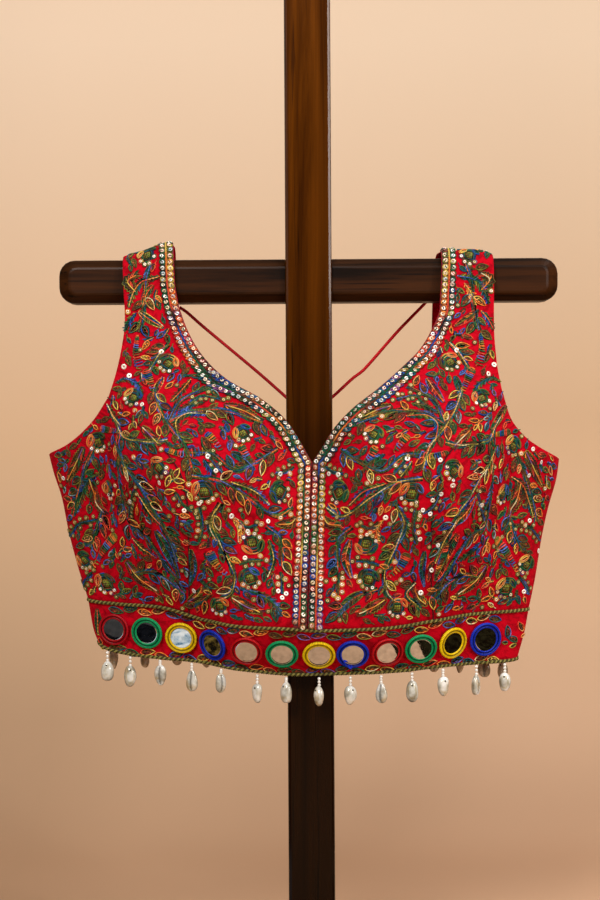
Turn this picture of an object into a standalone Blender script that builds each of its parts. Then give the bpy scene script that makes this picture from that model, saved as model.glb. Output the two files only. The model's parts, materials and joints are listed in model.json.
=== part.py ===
"""Choli blouse with a mirror band and a cowrie hem, hung by its straps over a wooden cross stand.

Sizes are in millimetres and become metres when a mesh is made. The blouse's front faces -Y, the post
of the stand runs up the Z axis, and its base stands on z = 0. Every place on the cloth is a place on
the middle of its wall.

A place on the cloth is a station and a height. The station runs from -1 at the left side seam, over 0
at the post, to 1 at the right side seam, and bunches near the seams so that the cloth rounds into them.
Where a strap turns over the bar, the height runs on along the strap to the shoulder seam.
"""
import math

import bmesh
import bpy
import numpy as np
from mathutils import Matrix, Vector

MM = 0.001
WALL = 2.0                # thickness of the cloth with its embroidery and lining
GAP = 0.3                 # between pieces that touch
SEAM = 0.25               # each side of a seam
JOIN_SEAM = 0.4           # each side of the seam that the rope covers
LAY = 0.8                 # under pieces that lie on a curved panel

# ---- stand ----
POST_SIDE = 40.0
POST_TOP = 880.0
POST_EDGE = 2.5           # bevel along the post
BAR_LENGTH = 433.0
BAR_HEIGHT = 37.4
BAR_DEPTH = 38.0
BAR_EDGE = 8.5            # chamfer along the bar, as wide as it is deep
BAR_END = 11.0            # its width at the bar's ends
BAR_CORNER = 13.5         # radius of the ends' corners, seen from the front
BAR_AXIS = 601.3          # height of the bar's axis
BAR_BACK_SET = 5.0        # the bar's axis behind the post's
LAP = 2.0                 # the face where bar and post are halved into each other, behind the post's axis
BASE_SIDE = 300.0
BASE_THICK = 20.0
BASE_EDGE = 3.0

# ---- outline of the blouse: (x, height), the front as seen from the front ----
STRAP_TURN = 600.0        # where the straps begin to turn over the bar
SHOULDER = 640.0          # height, along the strap, of the shoulder seam
SIDES = ("left", "right")
SIGN = {"left": -1, "right": 1}

# half width of the blouse: (height, half width), from the hem up to the armpit
HALF_WIDTH = {
    "left": [(287, 183.5), (298.5, 188), (325.7, 193), (351, 200.5), (384, 209), (414.5, 215),
             (436.5, 222), (452.5, 226)],
    "right": [(271, 179), (296.5, 186), (315, 189.5), (341.5, 195), (375, 200.5), (402.5, 206.5),
              (431, 214.5), (446, 216.5)],
}
NECK_FRONT = {
    "left": [(-117.5, 640), (-116, 618), (-115, 600), (-112.5, 584), (-107.5, 567), (-99.5, 549),
             (-88, 532), (-70, 514.5), (-40, 497), (-20.5, 480), (-9, 463), (2, 444)],
    "right": [(114.5, 640), (114.5, 618), (114, 600), (113, 587), (112, 574), (105, 557), (94.5, 540),
              (77, 522.5), (57, 505), (35.5, 488), (20, 471), (10, 455), (2, 444)],
}
CENTRE_FRONT = [(2, 444), (-0.5, 375), (-3, 303)]
ARMHOLE_TOP = {
    "left": [(-161, 640), (-160.5, 618), (-160, 600), (-158.5, 567), (-161.5, 541), (-166, 520), (-172, 500)],
    "right": [(160, 640), (160, 618), (160, 600), (159.5, 560), (161, 530), (165, 503)],
}
ARMHOLE_LOW = {
    "left": [(-172, 500), (-184, 482), (-200.5, 466), (-211, 459), (-226, 452.5)],
    "right": [(165, 503), (171.5, 481), (186, 463.5), (198, 455.5), (216.5, 446)],
}
PRINCESS_TOP = {
    "left": [(-172, 500), (-158, 487), (-132, 466), (-117, 450), (-105, 428)],
    "right": [(165, 503), (155, 487), (131, 466), (115, 450), (104, 428)],
}
PRINCESS_LOW = {
    "left": [(-105, 428), (-101.5, 396), (-102.5, 350), (-104, 313)],
    "right": [(104, 428), (101.5, 396), (102, 350), (104, 309)],
}
NECK_BACK = {
    "left": [(-117.5, 640), (-117, 618), (-117, 600), (-115.5, 570), (-112, 520), (-104, 470), (-84, 428),
             (-48, 404), (0, 397)],
    "right": [(114.5, 640), (112, 618), (110.5, 600), (109.5, 570), (108, 520), (102, 470), (84, 428),
              (48, 404), (0, 397)],
}
CENTRE_BACK = [(0, 397), (0, 360), (0, 328)]

# the seam between body and band, and the hem: (x, height); the first and last rows are side seams
JOIN_FRONT = [(-193, 325.7), (-164, 322.5), (-129, 321), (-94, 311), (-60, 306), (-26, 304.5), (8, 302.7),
              (42, 303.2), (76, 304.8), (110, 310), (145, 313.4), (165, 314), (189.5, 315)]
JOIN_BACK = [(-193, 325.7), (-150, 329), (0, 328), (110, 324), (189.5, 315)]
HEM_FRONT = [(-183.5, 287), (-165, 278.5), (-130, 274.3), (-95, 271.5), (-60, 266.5), (-10, 262),
             (25, 262.6), (76, 264), (111, 267.3), (146, 268.3), (165, 268.8), (179, 271)]
HEM_BACK = [(-183.5, 287), (-150, 288), (0, 285), (110, 281), (179, 271)]

# top of the straps above the height where they turn: (x, rise)
RISE = [(-161, 22.5), (-145, 26), (-137, 28.5), (-129, 32), (-116, 33), (114, 26), (145, 26), (160, 22.5)]
# the strap over the bar: (share of the way up to the shoulder seam, depth in front, share of the rise)
OVER_BAR_FRONT = [(0, 21, 0), (0.25, 20.5, 0.45), (0.5, 15.5, 0.86), (0.75, 6, 1), (1, -4.8, 1)]
OVER_BAR_BACK = [(0, 31, 0), (0.25, 30.5, 0.45), (0.5, 25.5, 0.86), (0.75, 16, 1), (1, 5.2, 1)]

# depth of the cloth in front of, or behind, the post's axis, at these stations
STATIONS = (-1, -0.67, -0.42, -0.22, 0, 0.22, 0.42, 0.67, 1)
FRONT_SECTIONS = [  # height, left side, flank, cup, inner, centre, inner, cup, flank, right side
    (245, 0.2, 10, 20, 25, 26, 25, 20, 11, 0.2),
    (262, 0.2, 12, 24, 34, 36, 35, 28, 14, 0.2),
    (285, 0.2, 14, 28, 48, 50, 49, 38, 17, 0.2),
    (310, 0.2, 17, 36, 61, 64, 62, 48, 20, 0.2),
    (340, 0.2, 24, 52, 67, 64, 68, 58, 28, 0.2),
    (370, 0.2, 30, 68, 72, 62, 73, 70, 34, 0.2),
    (400, 0.2, 34, 82, 79, 59, 80, 82, 38, 0.2),
    (430, 0.2, 36, 90, 84, 55, 84, 88, 40, 0.2),
    (455, 0.2, 36, 86, 80, 51, 80, 84, 40, 0.2),
    (485, 6, 34, 70, 68, 48, 68, 70, 36, 6),
    (520, 16, 27, 46, 52, 48, 52, 46, 29, 16),
    (560, 21, 23, 28, 34, 36, 34, 28, 24, 21),
    (600, 21, 21, 21, 21, 21, 21, 21, 21, 21),
]
BACK_SECTIONS = [
    (262, 0.2, 20, 28, 32, 34, 32, 28, 20, 0.2),
    (310, 0.2, 22, 32, 36, 38, 36, 32, 22, 0.2),
    (380, 0.2, 26, 37, 41, 43, 41, 37, 26, 0.2),
    (450, 0.2, 28, 40, 44, 45, 44, 40, 28, 0.2),
    (500, 10, 30, 38, 40, 41, 40, 38, 30, 10),
    (560, 31, 33, 34, 34, 34, 34, 34, 33, 31),
    (600, 31, 31, 31, 31, 31, 31, 31, 31, 31),
]
# largest folds of the front: from (x, height) to (x, height), half width, height of the ridge or -trough
FOLDS = [
    (-176, 470, -172, 395, 9, -7),
    (-158, 455, -118, 330, 9, 6),
    (-148, 400, -122, 345, 10, -6),
    (-104, 355, -106, 245, 12, -4),
    (-72, 355, -68, 245, 12, 4),
    (-60, 400, -20, 335, 13, -4),
    (150, 478, 106, 335, 11, 8),
    (126, 440, 88, 325, 11, -7),
    (178, 460, 158, 385, 8, -5),
    (60, 392, 26, 340, 13, -4),
    (112, 350, 110, 245, 12, 4),
]

# steps and columns of the panels' grids
STRAP_STEPS = 13
CUP_STEPS = 8
BODY_STEPS = 10
NECK_FOOT_STEPS = 4       # of the back neck, below its turn
NECK_SPLIT = 8            # row of the neck's table that lies opposite the armhole's end
SETTLED_ROWS = 5
CENTRE_COLUMNS = (0, 0.14, 0.28, 0.43, 0.58, 0.73, 0.87, 1)
SIDE_COLUMNS = (0, 0.17, 0.34, 0.5, 0.65, 0.79, 0.91, 1)
BACK_COLUMNS = (0, 0.16, 0.33, 0.5, 0.66, 0.8, 0.92, 1)

# ---- sewn-on pieces ----
TRIM_WIDTH = 11.5
TRIM_THICK = 1.0
ROPE_RADIUS = 1.6
RING_TUBE = 1.9
GLASS_RADIUS = 9.7
GLASS_THICK = 1.2
HALF_WIDTH_AT_MIRRORS = {"left": 188.0, "right": 185.5}
MIRRORS = [  # x, outer diameter, colour of the yarn
    (-168.5, 28.0, "maroon"), (-140, 28.0, "green"), (-111, 28.0, "yellow"), (-83, 28.0, "blue"),
    (-55.5, 28.0, "red"), (-25, 28.0, "green"), (7, 28.0, "yellow"), (36, 28.0, "blue"),
    (65.5, 28.0, "red"), (94, 28.0, "green"), (120.5, 28.0, "yellow"), (150, 29.6, "blue"),
]
COWRIE_LENGTH = 17.5
COWRIE_WIDTH = 11.5
COWRIE_DEPTH = 7.5
COWRIE_THREAD = 8.0       # from the rope's middle to the shell
THREAD_RADIUS = 0.9
COWRIES_FRONT = [  # x, added length of the thread
    (-175, 2), (-155, 2), (-129, -2), (-101, 0), (-75, -3), (-45.5, 1), (-21, -2), (7, 1), (33.5, 1),
    (59.5, 0), (86, 1), (112, 0), (142, 2), (167, 1),
]
COWRIES_BACK = [
    (-170, 0), (-144, 1), (-117, -1), (-92, 1), (-66, 0), (-40, 1), (-13, 0), (14, -1), (40, 1), (66, 0),
    (86, 1), (107, 0), (129, -1), (150, 1), (166, 0),
]
DORI_RADIUS = 1.0
DORI_KNOT = (-1.5, 34.0, 484.0)
DORI_LEFT = [(-114.3, 33.5, 581.5), (-109, 33.5, 578), (-96, 33.5, 566.5), (-70, 33.7, 544.5),
             (-40, 33.9, 519), (-5.5, 34, 487.8)]
DORI_RIGHT = [(108.6, 33.5, 590), (104, 33.5, 584.5), (80, 33.6, 560), (47, 33.8, 523.5), (40, 33.8, 518.5),
              (20, 33.9, 500.5), (3, 34, 487.5)]
KNOT_TAILS = [(-8, 440), (7, 436)]

MATERIALS = {  # colour, roughness, metallic
    "red cloth": ((0.60, 0.01, 0.03), 0.85, 0.0),
    "sequin trim": ((0.45, 0.30, 0.22), 0.6, 0.0),
    "olive rope": ((0.10, 0.13, 0.03), 0.8, 0.0),
    "cowrie": ((0.80, 0.76, 0.68), 0.25, 0.0),
    "dori": ((0.25, 0.01, 0.01), 0.7, 0.0),
    "glass": ((0.75, 0.77, 0.78), 0.08, 0.9),
    "maroon yarn": ((0.25, 0.01, 0.02), 0.7, 0.0),
    "red yarn": ((0.55, 0.01, 0.02), 0.7, 0.0),
    "green yarn": ((0.01, 0.26, 0.09), 0.7, 0.0),
    "yellow yarn": ((0.85, 0.52, 0.02), 0.7, 0.0),
    "blue yarn": ((0.02, 0.05, 0.35), 0.7, 0.0),
    "dark wood": ((0.09, 0.04, 0.015), 0.25, 0.0),
}

for old in list(bpy.data.objects):
    bpy.data.objects.remove(old, do_unlink=True)
parts = bpy.data.collections.new("choli_blouse")
cutters = bpy.data.collections.new("cutters")
shells = bpy.data.collections.new("cowrie_shells")
for collection in (parts, cutters, shells):
    bpy.context.scene.collection.children.link(collection)


# ---- curves and tables ----
def smooth(knots, values, at):
    """Smooth curves through the values at rising knots, with no overshoot, read at each of `at`.

    Values are one for each knot, or a row for each knot with a column for each place in `at`.
    """
    knots = np.asarray(knots, dtype=float)
    values = np.asarray(values, dtype=float)
    if values.ndim == 1:
        values = np.repeat(values[:, None], len(at), axis=1)
    gap = np.diff(knots)[:, None]
    rise = np.diff(values, axis=0) / gap
    level = rise[1:] * rise[:-1] <= 0
    before, after = 2 * gap[1:] + gap[:-1], gap[1:] + 2 * gap[:-1]
    mean = (before + after) / (before / np.where(level, 1, rise[:-1]) + after / np.where(level, 1, rise[1:]))
    slopes = np.vstack([rise[:1], np.where(level, 0, mean), rise[-1:]])
    low = np.clip(np.searchsorted(knots, at) - 1, 0, len(knots) - 2)
    column = np.arange(len(at))
    step = knots[low + 1] - knots[low]
    t = np.clip((at - knots[low]) / step, 0, 1)
    start, end = values[low, column], values[low + 1, column]
    leave, arrive = slopes[low, column] * step, slopes[low + 1, column] * step
    return (start * (1 + 2 * t) * (1 - t) ** 2 + leave * t * (1 - t) ** 2
            + end * t * t * (3 - 2 * t) - arrive * t * t * (1 - t))


def table_value(rows, column, at):
    """A column of a table whose first column rises, read at each of `at`."""
    rows = np.asarray(rows, dtype=float)
    return smooth(rows[:, 0], rows[:, column], at)


def along(points, steps, first=0, last=None):
    """Evenly spaced points on a smooth curve through the given points, between two of them."""
    points = np.asarray(points, dtype=float)
    last = len(points) - 1 if last is None else last
    number = np.arange(len(points))
    fine = np.linspace(0, len(points) - 1, 20 * len(points))
    curve = np.stack([smooth(number, points[:, k], fine) for k in range(points.shape[1])], axis=1)
    length = np.concatenate([[0], np.cumsum(np.linalg.norm(np.diff(curve, axis=0), axis=1))])
    at = np.linspace(*np.interp([first, last], fine, length), steps + 1)
    return np.stack([np.interp(at, length, curve[:, k]) for k in range(curve.shape[1])], axis=1)


# ---- places on the cloth ----
def half_width(side, height):
    return table_value(HALF_WIDTH[side], 1, np.asarray(height, dtype=float))


def station_of(share):
    """Station of a place at this signed share of the half width."""
    turn = 1 - np.sqrt(1 - np.clip(np.abs(share), 0, 1))
    return np.sign(share) * (np.sqrt(1 + 8 * turn) - 1) / 2


def share_of(station):
    """Signed share of the half width at a station, with a round turn into the side seams."""
    turn = np.abs(station) * (1 + np.abs(station)) / 2
    return np.sign(station) * (2 * turn - turn ** 2)


def to_stations(places):
    """(x, height) places as (station, height)."""
    places = np.asarray(places, dtype=float)
    width = np.where(places[:, 0] < 0, half_width("left", places[:, 1]), half_width("right", places[:, 1]))
    return np.stack([station_of(places[:, 0] / width), places[:, 1]], axis=1)


def folds(x, height):
    """What the folds add to the front's depth."""
    total = np.zeros(len(x))
    for x0, h0, x1, h1, half, ridge in FOLDS:
        run = np.array([x1 - x0, h1 - h0], dtype=float)
        share = ((x - x0) * run[0] + (height - h0) * run[1]) / (run @ run)
        aside = ((x - x0) * run[1] - (height - h0) * run[0]) / math.hypot(*run)
        fade = np.exp(-(np.clip(np.abs(share - 0.5) - 0.35, 0, None) / 0.2) ** 2)
        total += ridge * fade * np.exp(-(aside / half) ** 2)
    return total


def cloth_point(face, station, height):
    """Points on the middle of the wall, in mm: face is 'front' or 'back'."""
    station = np.clip(np.asarray(station, dtype=float), -1, 1)
    height = np.asarray(height, dtype=float)
    sections = np.asarray(FRONT_SECTIONS if face == "front" else BACK_SECTIONS, dtype=float)
    over_bar = OVER_BAR_FRONT if face == "front" else OVER_BAR_BACK
    hanging = np.minimum(height, STRAP_TURN)
    width = np.where(station < 0, half_width("left", hanging), half_width("right", hanging))
    x = share_of(station) * width
    across = np.stack([smooth(STATIONS, row[1:], station) for row in sections])
    depth = smooth(sections[:, 0], across, hanging)
    if face == "front":
        depth = depth + folds(x, hanging) * np.clip((1 - np.abs(station)) / 0.15, 0, 1)
    depth = np.maximum(depth, SEAM)
    share = (height - STRAP_TURN) / (SHOULDER - STRAP_TURN)
    depth = np.where(share > 0, table_value(over_bar, 1, share), depth)
    lift = np.where(share > 0, table_value(over_bar, 2, share) * table_value(RISE, 1, x), 0)
    return np.stack([x, -depth if face == "front" else depth, hanging + lift], axis=1)


def cloth_frame(face, station, height):
    """Points with the across, up and outward directions of the cloth there, and mm per unit of each."""
    station = np.clip(np.asarray(station, dtype=float), -1, 1)
    height = np.asarray(height, dtype=float)
    point = cloth_point(face, station, height)
    step, rise = 0.004, 0.4
    left, right = np.clip(station - step, -1, 1), np.clip(station + step, -1, 1)
    across = cloth_point(face, right, height) - cloth_point(face, left, height)
    across = across / (right - left)[:, None]
    up = (cloth_point(face, station, height + rise) - cloth_point(face, station, height - rise)) / (2 * rise)
    outward = np.cross(across, up) * (1 if face == "front" else -1)
    outward = outward / np.linalg.norm(outward, axis=1)[:, None]
    return point, across, up, outward


def raised(face, places, out):
    """Points at (station, height) places, moved out from the middle of the wall."""
    places = np.asarray(places, dtype=float)
    point, _, _, outward = cloth_frame(face, places[:, 0], places[:, 1])
    return point + outward * np.reshape(out, (-1, 1))


def seam_height(table, station):
    """Height of the join or the hem at these stations."""
    rows = np.asarray(table, dtype=float)
    ends = np.where(rows[:, 0] < 0, -rows[0, 0], rows[-1, 0])
    return smooth(station_of(rows[:, 0] / ends), rows[:, 1], np.asarray(station, dtype=float))


# ---- making objects ----
def make_material(name):
    material = bpy.data.materials.get(name)
    if material is None:
        colour, roughness, metallic = MATERIALS[name]
        material = bpy.data.materials.new(name)
        material.use_nodes = True
        shader = material.node_tree.nodes["Principled BSDF"]
        shader.inputs["Base Color"].default_value = (*colour, 1)
        shader.inputs["Roughness"].default_value = roughness
        shader.inputs["Metallic"].default_value = metallic
    return material


def add_object(name, mesh, material, smooth_shading=True):
    part = bpy.data.objects.new(name, mesh)
    parts.objects.link(part)
    mesh.materials.clear()
    mesh.materials.append(make_material(material))
    if smooth_shading:
        mesh.shade_smooth()
    return part


def wall(name, face, grids, low, high, material="red cloth"):
    """A closed wall over grids of (station, height), from `low` to `high` mm out from the cloth's middle.

    Both skins follow the cloth's own outward direction, so that neighbours keep the gap of their seam.
    Grids that share places are joined there.
    """
    places, numbers, quads = [], {}, []
    for grid in grids:
        index = []
        for place in grid.reshape(-1, 2):
            key = (round(place[0], 6), round(place[1], 4))
            if key not in numbers:
                numbers[key] = len(places)
                places.append(place)
            index.append(numbers[key])
        index = np.reshape(index, grid.shape[:2])
        for row in range(grid.shape[0] - 1):
            for column in range(grid.shape[1] - 1):
                quads.append((index[row, column], index[row + 1, column],
                              index[row + 1, column + 1], index[row, column + 1]))
    form = bmesh.new()
    inner = [form.verts.new(Vector(point) * MM) for point in raised(face, places, low)]
    outer = [form.verts.new(Vector(point) * MM) for point in raised(face, places, high)]
    sides = {}
    for quad in quads:
        for corners in (quad[:3], (quad[0], quad[2], quad[3])):
            form.faces.new([outer[number] for number in corners])
            form.faces.new([inner[number] for number in reversed(corners)])
        for pair in zip(quad, quad[1:] + quad[:1]):
            sides.setdefault(frozenset(pair), []).append(pair)
    for pairs in sides.values():
        if len(pairs) == 1:
            start, end = pairs[0]
            form.faces.new((outer[end], outer[start], inner[start], inner[end]))
    bmesh.ops.recalc_face_normals(form, faces=form.faces)
    mesh = bpy.data.meshes.new(name)
    form.to_mesh(mesh)
    form.free()
    part = add_object(name, mesh, material)
    mesh.set_sharp_from_angle(angle=math.radians(50))
    return part


def tube(name, points, radius, material, cyclic=False, sides=8):
    """A round tube along points in mm."""
    curve = bpy.data.curves.new(name, "CURVE")
    curve.dimensions = "3D"
    curve.bevel_depth = radius * MM
    curve.bevel_resolution = sides // 2 - 2
    curve.use_fill_caps = not cyclic
    spline = curve.splines.new("POLY")
    spline.points.add(len(points) - 1)
    for place, knot in zip(points, spline.points):
        knot.co = (*(Vector(place) * MM), 1)
    spline.use_cyclic_u = cyclic
    part = bpy.data.objects.new(name, curve)
    parts.objects.link(part)
    curve.materials.append(make_material(material))
    return part


def box(name, size, centre, material, edge, segments=1):
    """A box with bevelled edges."""
    bpy.ops.mesh.primitive_cube_add(size=1)
    part = bpy.context.object
    part.name = name
    part.data.transform(Matrix.Translation(Vector(centre) * MM) @ Matrix.Diagonal((*(Vector(size) * MM), 1)))
    for collection in part.users_collection:
        collection.objects.unlink(part)
    parts.objects.link(part)
    part.data.materials.append(make_material(material))
    if edge:
        bevel = part.modifiers.new("edges", "BEVEL")
        bevel.width = edge * MM
        bevel.segments = segments
    return part


def rounded_outline(half_length, half_height, radius, steps=5):
    """(x, height) points round a rectangle with round corners."""
    points = []
    for corner, (right, up) in enumerate([(1, 1), (-1, 1), (-1, -1), (1, -1)]):
        for angle in np.linspace(corner, corner + 1, steps + 1) * math.pi / 2:
            points.append(((half_length - radius) * right + radius * math.cos(angle),
                           (half_height - radius) * up + radius * math.sin(angle)))
    return points


def crossbar():
    """A bar with round ends and softened chamfers, made as rings of points from its front to its back."""
    profile = [(1, 0), (0.8, 0.06), (0.06, 0.8), (0, 1)]
    front = BAR_BACK_SET - BAR_DEPTH / 2
    back = BAR_BACK_SET + BAR_DEPTH / 2
    rings = [(inward, front + BAR_EDGE * depth) for inward, depth in profile]
    rings += [(inward, back - BAR_EDGE * depth) for inward, depth in reversed(profile)]
    form = bmesh.new()
    loops = []
    for inward, y in rings:
        outline = rounded_outline(BAR_LENGTH / 2 - BAR_END * inward, BAR_HEIGHT / 2 - BAR_EDGE * inward,
                                  BAR_CORNER - BAR_EDGE * inward)
        loops.append([form.verts.new(Vector((x, y, BAR_AXIS + z)) * MM) for x, z in outline])
    form.faces.new(loops[0])
    form.faces.new(loops[-1][::-1])
    for near, far in zip(loops, loops[1:]):
        for index in range(len(near)):
            after = (index + 1) % len(near)
            form.faces.new((near[after], near[index], far[index], far[after]))
    bmesh.ops.recalc_face_normals(form, faces=form.faces)
    mesh = bpy.data.meshes.new("stand_crossbar")
    form.to_mesh(mesh)
    form.free()
    part = add_object("stand_crossbar", mesh, "dark wood")
    mesh.set_sharp_from_angle(angle=math.radians(50))
    return part


def cut_box(part, size, centre):
    """Cut a box out of a part."""
    cutter = box(part.name + "_cutter", size, centre, "dark wood", 0)
    parts.objects.unlink(cutter)
    cutters.objects.link(cutter)
    cutter.hide_render = True
    cutter.display_type = "WIRE"
    cut = part.modifiers.new("cut", "BOOLEAN")
    cut.operation = "DIFFERENCE"
    cut.object = cutter


# ---- cloth panels ----
def edge(*stretches, shift=0.0):
    """(x, height) places down an edge. A stretch is a table, its number of steps, first and last row."""
    runs = [along(*stretch) for stretch in stretches]
    places = np.vstack([runs[0]] + [run[1:] for run in runs[1:]])
    return places + (shift, 0)


def side_seam(side, top, bottom, steps):
    """(x, height) places down the side seam."""
    heights = np.linspace(top, bottom, steps + 1)
    return np.stack([SIGN[side] * half_width(side, heights), heights], axis=1)


def ladder(inner, outer, columns, strip=0.0):
    """Grid of (station, height) between two edges, with two columns for a strip along the inner edge."""
    heading = np.gradient(inner, axis=0)
    heading /= np.linalg.norm(heading, axis=1)[:, None]
    across = outer - inner
    length = np.linalg.norm(across, axis=1)[:, None]
    across = across / length
    width = strip / np.abs(heading[:, 0] * across[:, 1] - heading[:, 1] * across[:, 0])[:, None]
    start = to_stations(inner + across * width)
    end = to_stations(outer)
    grid = [start + (end - start) * column for column in columns]
    if strip:
        grid = [to_stations(inner), to_stations(inner + across * width / 2)] + grid
    return np.stack(grid, axis=1)


def settle(places, table):
    """Bring a grid's last row to a seam, with a row just above the rope that lies on it."""
    target = seam_height(table, places[-1, :, 0]) + JOIN_SEAM
    change = target - places[-1, :, 1]
    for number in range(SETTLED_ROWS):
        places[-1 - number, :, 1] += change * (1 - number / SETTLED_ROWS)
    above = places[-1] + (0, ROPE_RADIUS + 2 * GAP)
    return np.insert(places, -1, above, axis=0)


def front_panels(side):
    """Centre and side front panels with a princess seam between them, and the trim of the neck.

    Gives back the stations of the panels' columns at the band.
    """
    toward_post = -SIGN[side] * SEAM
    inner = edge((NECK_FRONT[side], STRAP_STEPS, 0, NECK_SPLIT), (NECK_FRONT[side], CUP_STEPS, NECK_SPLIT),
                 (CENTRE_FRONT, BODY_STEPS), shift=-toward_post)
    outer = edge((ARMHOLE_TOP[side], STRAP_STEPS), (PRINCESS_TOP[side], CUP_STEPS),
                 (PRINCESS_LOW[side], BODY_STEPS), shift=toward_post)
    places = settle(ladder(inner, outer, CENTRE_COLUMNS, TRIM_WIDTH), JOIN_FRONT)
    centre_foot = places[-1, :, 0]
    wall("front_centre_" + side, "front", [places], -WALL / 2, WALL / 2)
    low = WALL / 2 + GAP
    wall("neck_trim_" + side, "front", [places[:-1, :3]], low, low + TRIM_THICK, "sequin trim")
    join = JOIN_FRONT[0 if side == "left" else -1][1]
    inner = edge((PRINCESS_TOP[side], CUP_STEPS), (PRINCESS_LOW[side], BODY_STEPS), shift=-toward_post)
    outer = np.vstack([along(ARMHOLE_LOW[side], CUP_STEPS),
                       side_seam(side, ARMHOLE_LOW[side][-1][1], join, BODY_STEPS)[1:]])
    for places in (inner, outer):
        places[0] = (places[0] + places[1]) / 2
    places = settle(ladder(inner, outer, SIDE_COLUMNS), JOIN_FRONT)
    wall("front_side_" + side, "front", [places], -WALL / 2, WALL / 2)
    return list(centre_foot) + list(places[-1, 1:, 0])


def back_panel():
    """The back in one piece: a half each side, joined below the deep neck.

    Gives back the stations of its columns at the band.
    """
    halves = []
    for side in SIDES:
        inner = edge((NECK_BACK[side], STRAP_STEPS, 0, 4), (NECK_BACK[side], CUP_STEPS, 4, 6),
                     (NECK_BACK[side], NECK_FOOT_STEPS, 6), (CENTRE_BACK, BODY_STEPS - NECK_FOOT_STEPS))
        join = JOIN_BACK[0 if side == "left" else -1][1]
        outer = np.vstack([edge((ARMHOLE_TOP[side], STRAP_STEPS), (ARMHOLE_LOW[side], CUP_STEPS)),
                           side_seam(side, ARMHOLE_LOW[side][-1][1], join, BODY_STEPS)[1:]])
        halves.append(settle(ladder(inner, outer, BACK_COLUMNS), JOIN_BACK))
    wall("back", "back", halves, -WALL / 2, WALL / 2)
    return [station for half in halves for station in half[-1, :, 0]]


def band(face, join, hem, body_stations, rows, splits):
    """The waist band. Its top runs straight between the columns of the body's foot, as that does."""
    body = np.unique(np.round(body_stations, 3))
    body = body[np.concatenate([[True], np.diff(body) > 0.005])]
    body[0], body[-1] = -1, 1
    columns = np.arange(len(body) * splits - splits + 1) / splits
    stations = np.interp(columns, np.arange(len(body)), body)
    top = np.interp(share_of(stations), share_of(body), seam_height(join, body)) - JOIN_SEAM
    bottom = seam_height(hem, stations)
    shares = np.linspace(0, 1, rows + 1)[:, None]
    heights = top * (1 - shares) + bottom * shares
    places = np.stack([np.broadcast_to(stations, heights.shape), heights], axis=2)
    wall("band_" + face, face, [places], -WALL / 2, WALL / 2)


# ---- sewn-on pieces ----
def ring_route(front, back, lift, count_front, count_back):
    """Closed route round the blouse on the outside of its cloth, at a seam raised by `lift`."""
    out = WALL / 2 + LAY + ROPE_RADIUS
    forward, backward = np.linspace(-1, 1, count_front), np.linspace(1, -1, count_back)[1:-1]
    front_run = raised("front", np.stack([forward, seam_height(front, forward) + lift], axis=1), out)
    back_run = raised("back", np.stack([backward, seam_height(back, backward) + lift], axis=1), out)
    return np.vstack([front_run, back_run])


def curve_to_mesh(part):
    """The mesh of a tube, with its seams welded, in place of the curve."""
    mesh = bpy.data.meshes.new_from_object(part.evaluated_get(bpy.context.evaluated_depsgraph_get()))
    form = bmesh.new()
    form.from_mesh(mesh)
    bmesh.ops.remove_doubles(form, verts=form.verts, dist=0.00001)
    form.to_mesh(mesh)
    form.free()
    name, material = part.name, mesh.materials[0].name
    bpy.data.objects.remove(part)
    return add_object(name, mesh, material)


def cowrie(form, top, drop):
    """A shell on its thread: a flattened egg below a thin four-sided thread."""
    length = COWRIE_THREAD + drop
    thread = bmesh.ops.create_cone(form, cap_ends=True, segments=4, radius1=THREAD_RADIUS * MM,
                                   radius2=THREAD_RADIUS * MM, depth=(length + 2) * MM)
    middle = Vector(top) - Vector((0, 0, (length + 2) / 2))
    bmesh.ops.translate(form, verts=thread["verts"], vec=middle * MM)
    shell = bmesh.ops.create_uvsphere(form, u_segments=8, v_segments=5, radius=MM)
    centre = Vector(top) - Vector((0, 0, length + COWRIE_LENGTH / 2))
    size = Matrix.Diagonal((COWRIE_WIDTH / 2, COWRIE_DEPTH / 2, COWRIE_LENGTH / 2, 1))
    bmesh.ops.transform(form, matrix=Matrix.Translation(centre * MM) @ size, verts=shell["verts"])


def hem_fringe():
    """The rope on the hem with the cowrie shells fused to it, all round."""
    rope = tube("hem_fringe", ring_route(HEM_FRONT, HEM_BACK, ROPE_RADIUS, 40, 26), ROPE_RADIUS,
                "olive rope", cyclic=True, sides=6)
    rope = curve_to_mesh(rope)
    rows = [("front", HEM_FRONT, *row) for row in COWRIES_FRONT]
    rows += [("back", HEM_BACK, *row) for row in COWRIES_BACK]
    for number, (face, table, x, drop) in enumerate(rows):
        end = table[0] if x < 0 else table[-1]
        station = station_of(np.array([x / abs(end[0])]))
        height = seam_height(table, station) + ROPE_RADIUS
        top = raised(face, np.stack([station, height], axis=1), WALL / 2 + LAY + ROPE_RADIUS)[0]
        form = bmesh.new()
        cowrie(form, top, drop)
        mesh = bpy.data.meshes.new("cowrie")
        form.to_mesh(mesh)
        form.free()
        shell = bpy.data.objects.new("cowrie_%02d" % number, mesh)
        shells.objects.link(shell)
        shell.hide_render = True
        shell.display_type = "WIRE"
    join = rope.modifiers.new("shells", "BOOLEAN")
    join.operation = "UNION"
    join.operand_type = "COLLECTION"
    join.collection = shells
    join.use_self = True
    return rope


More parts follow.
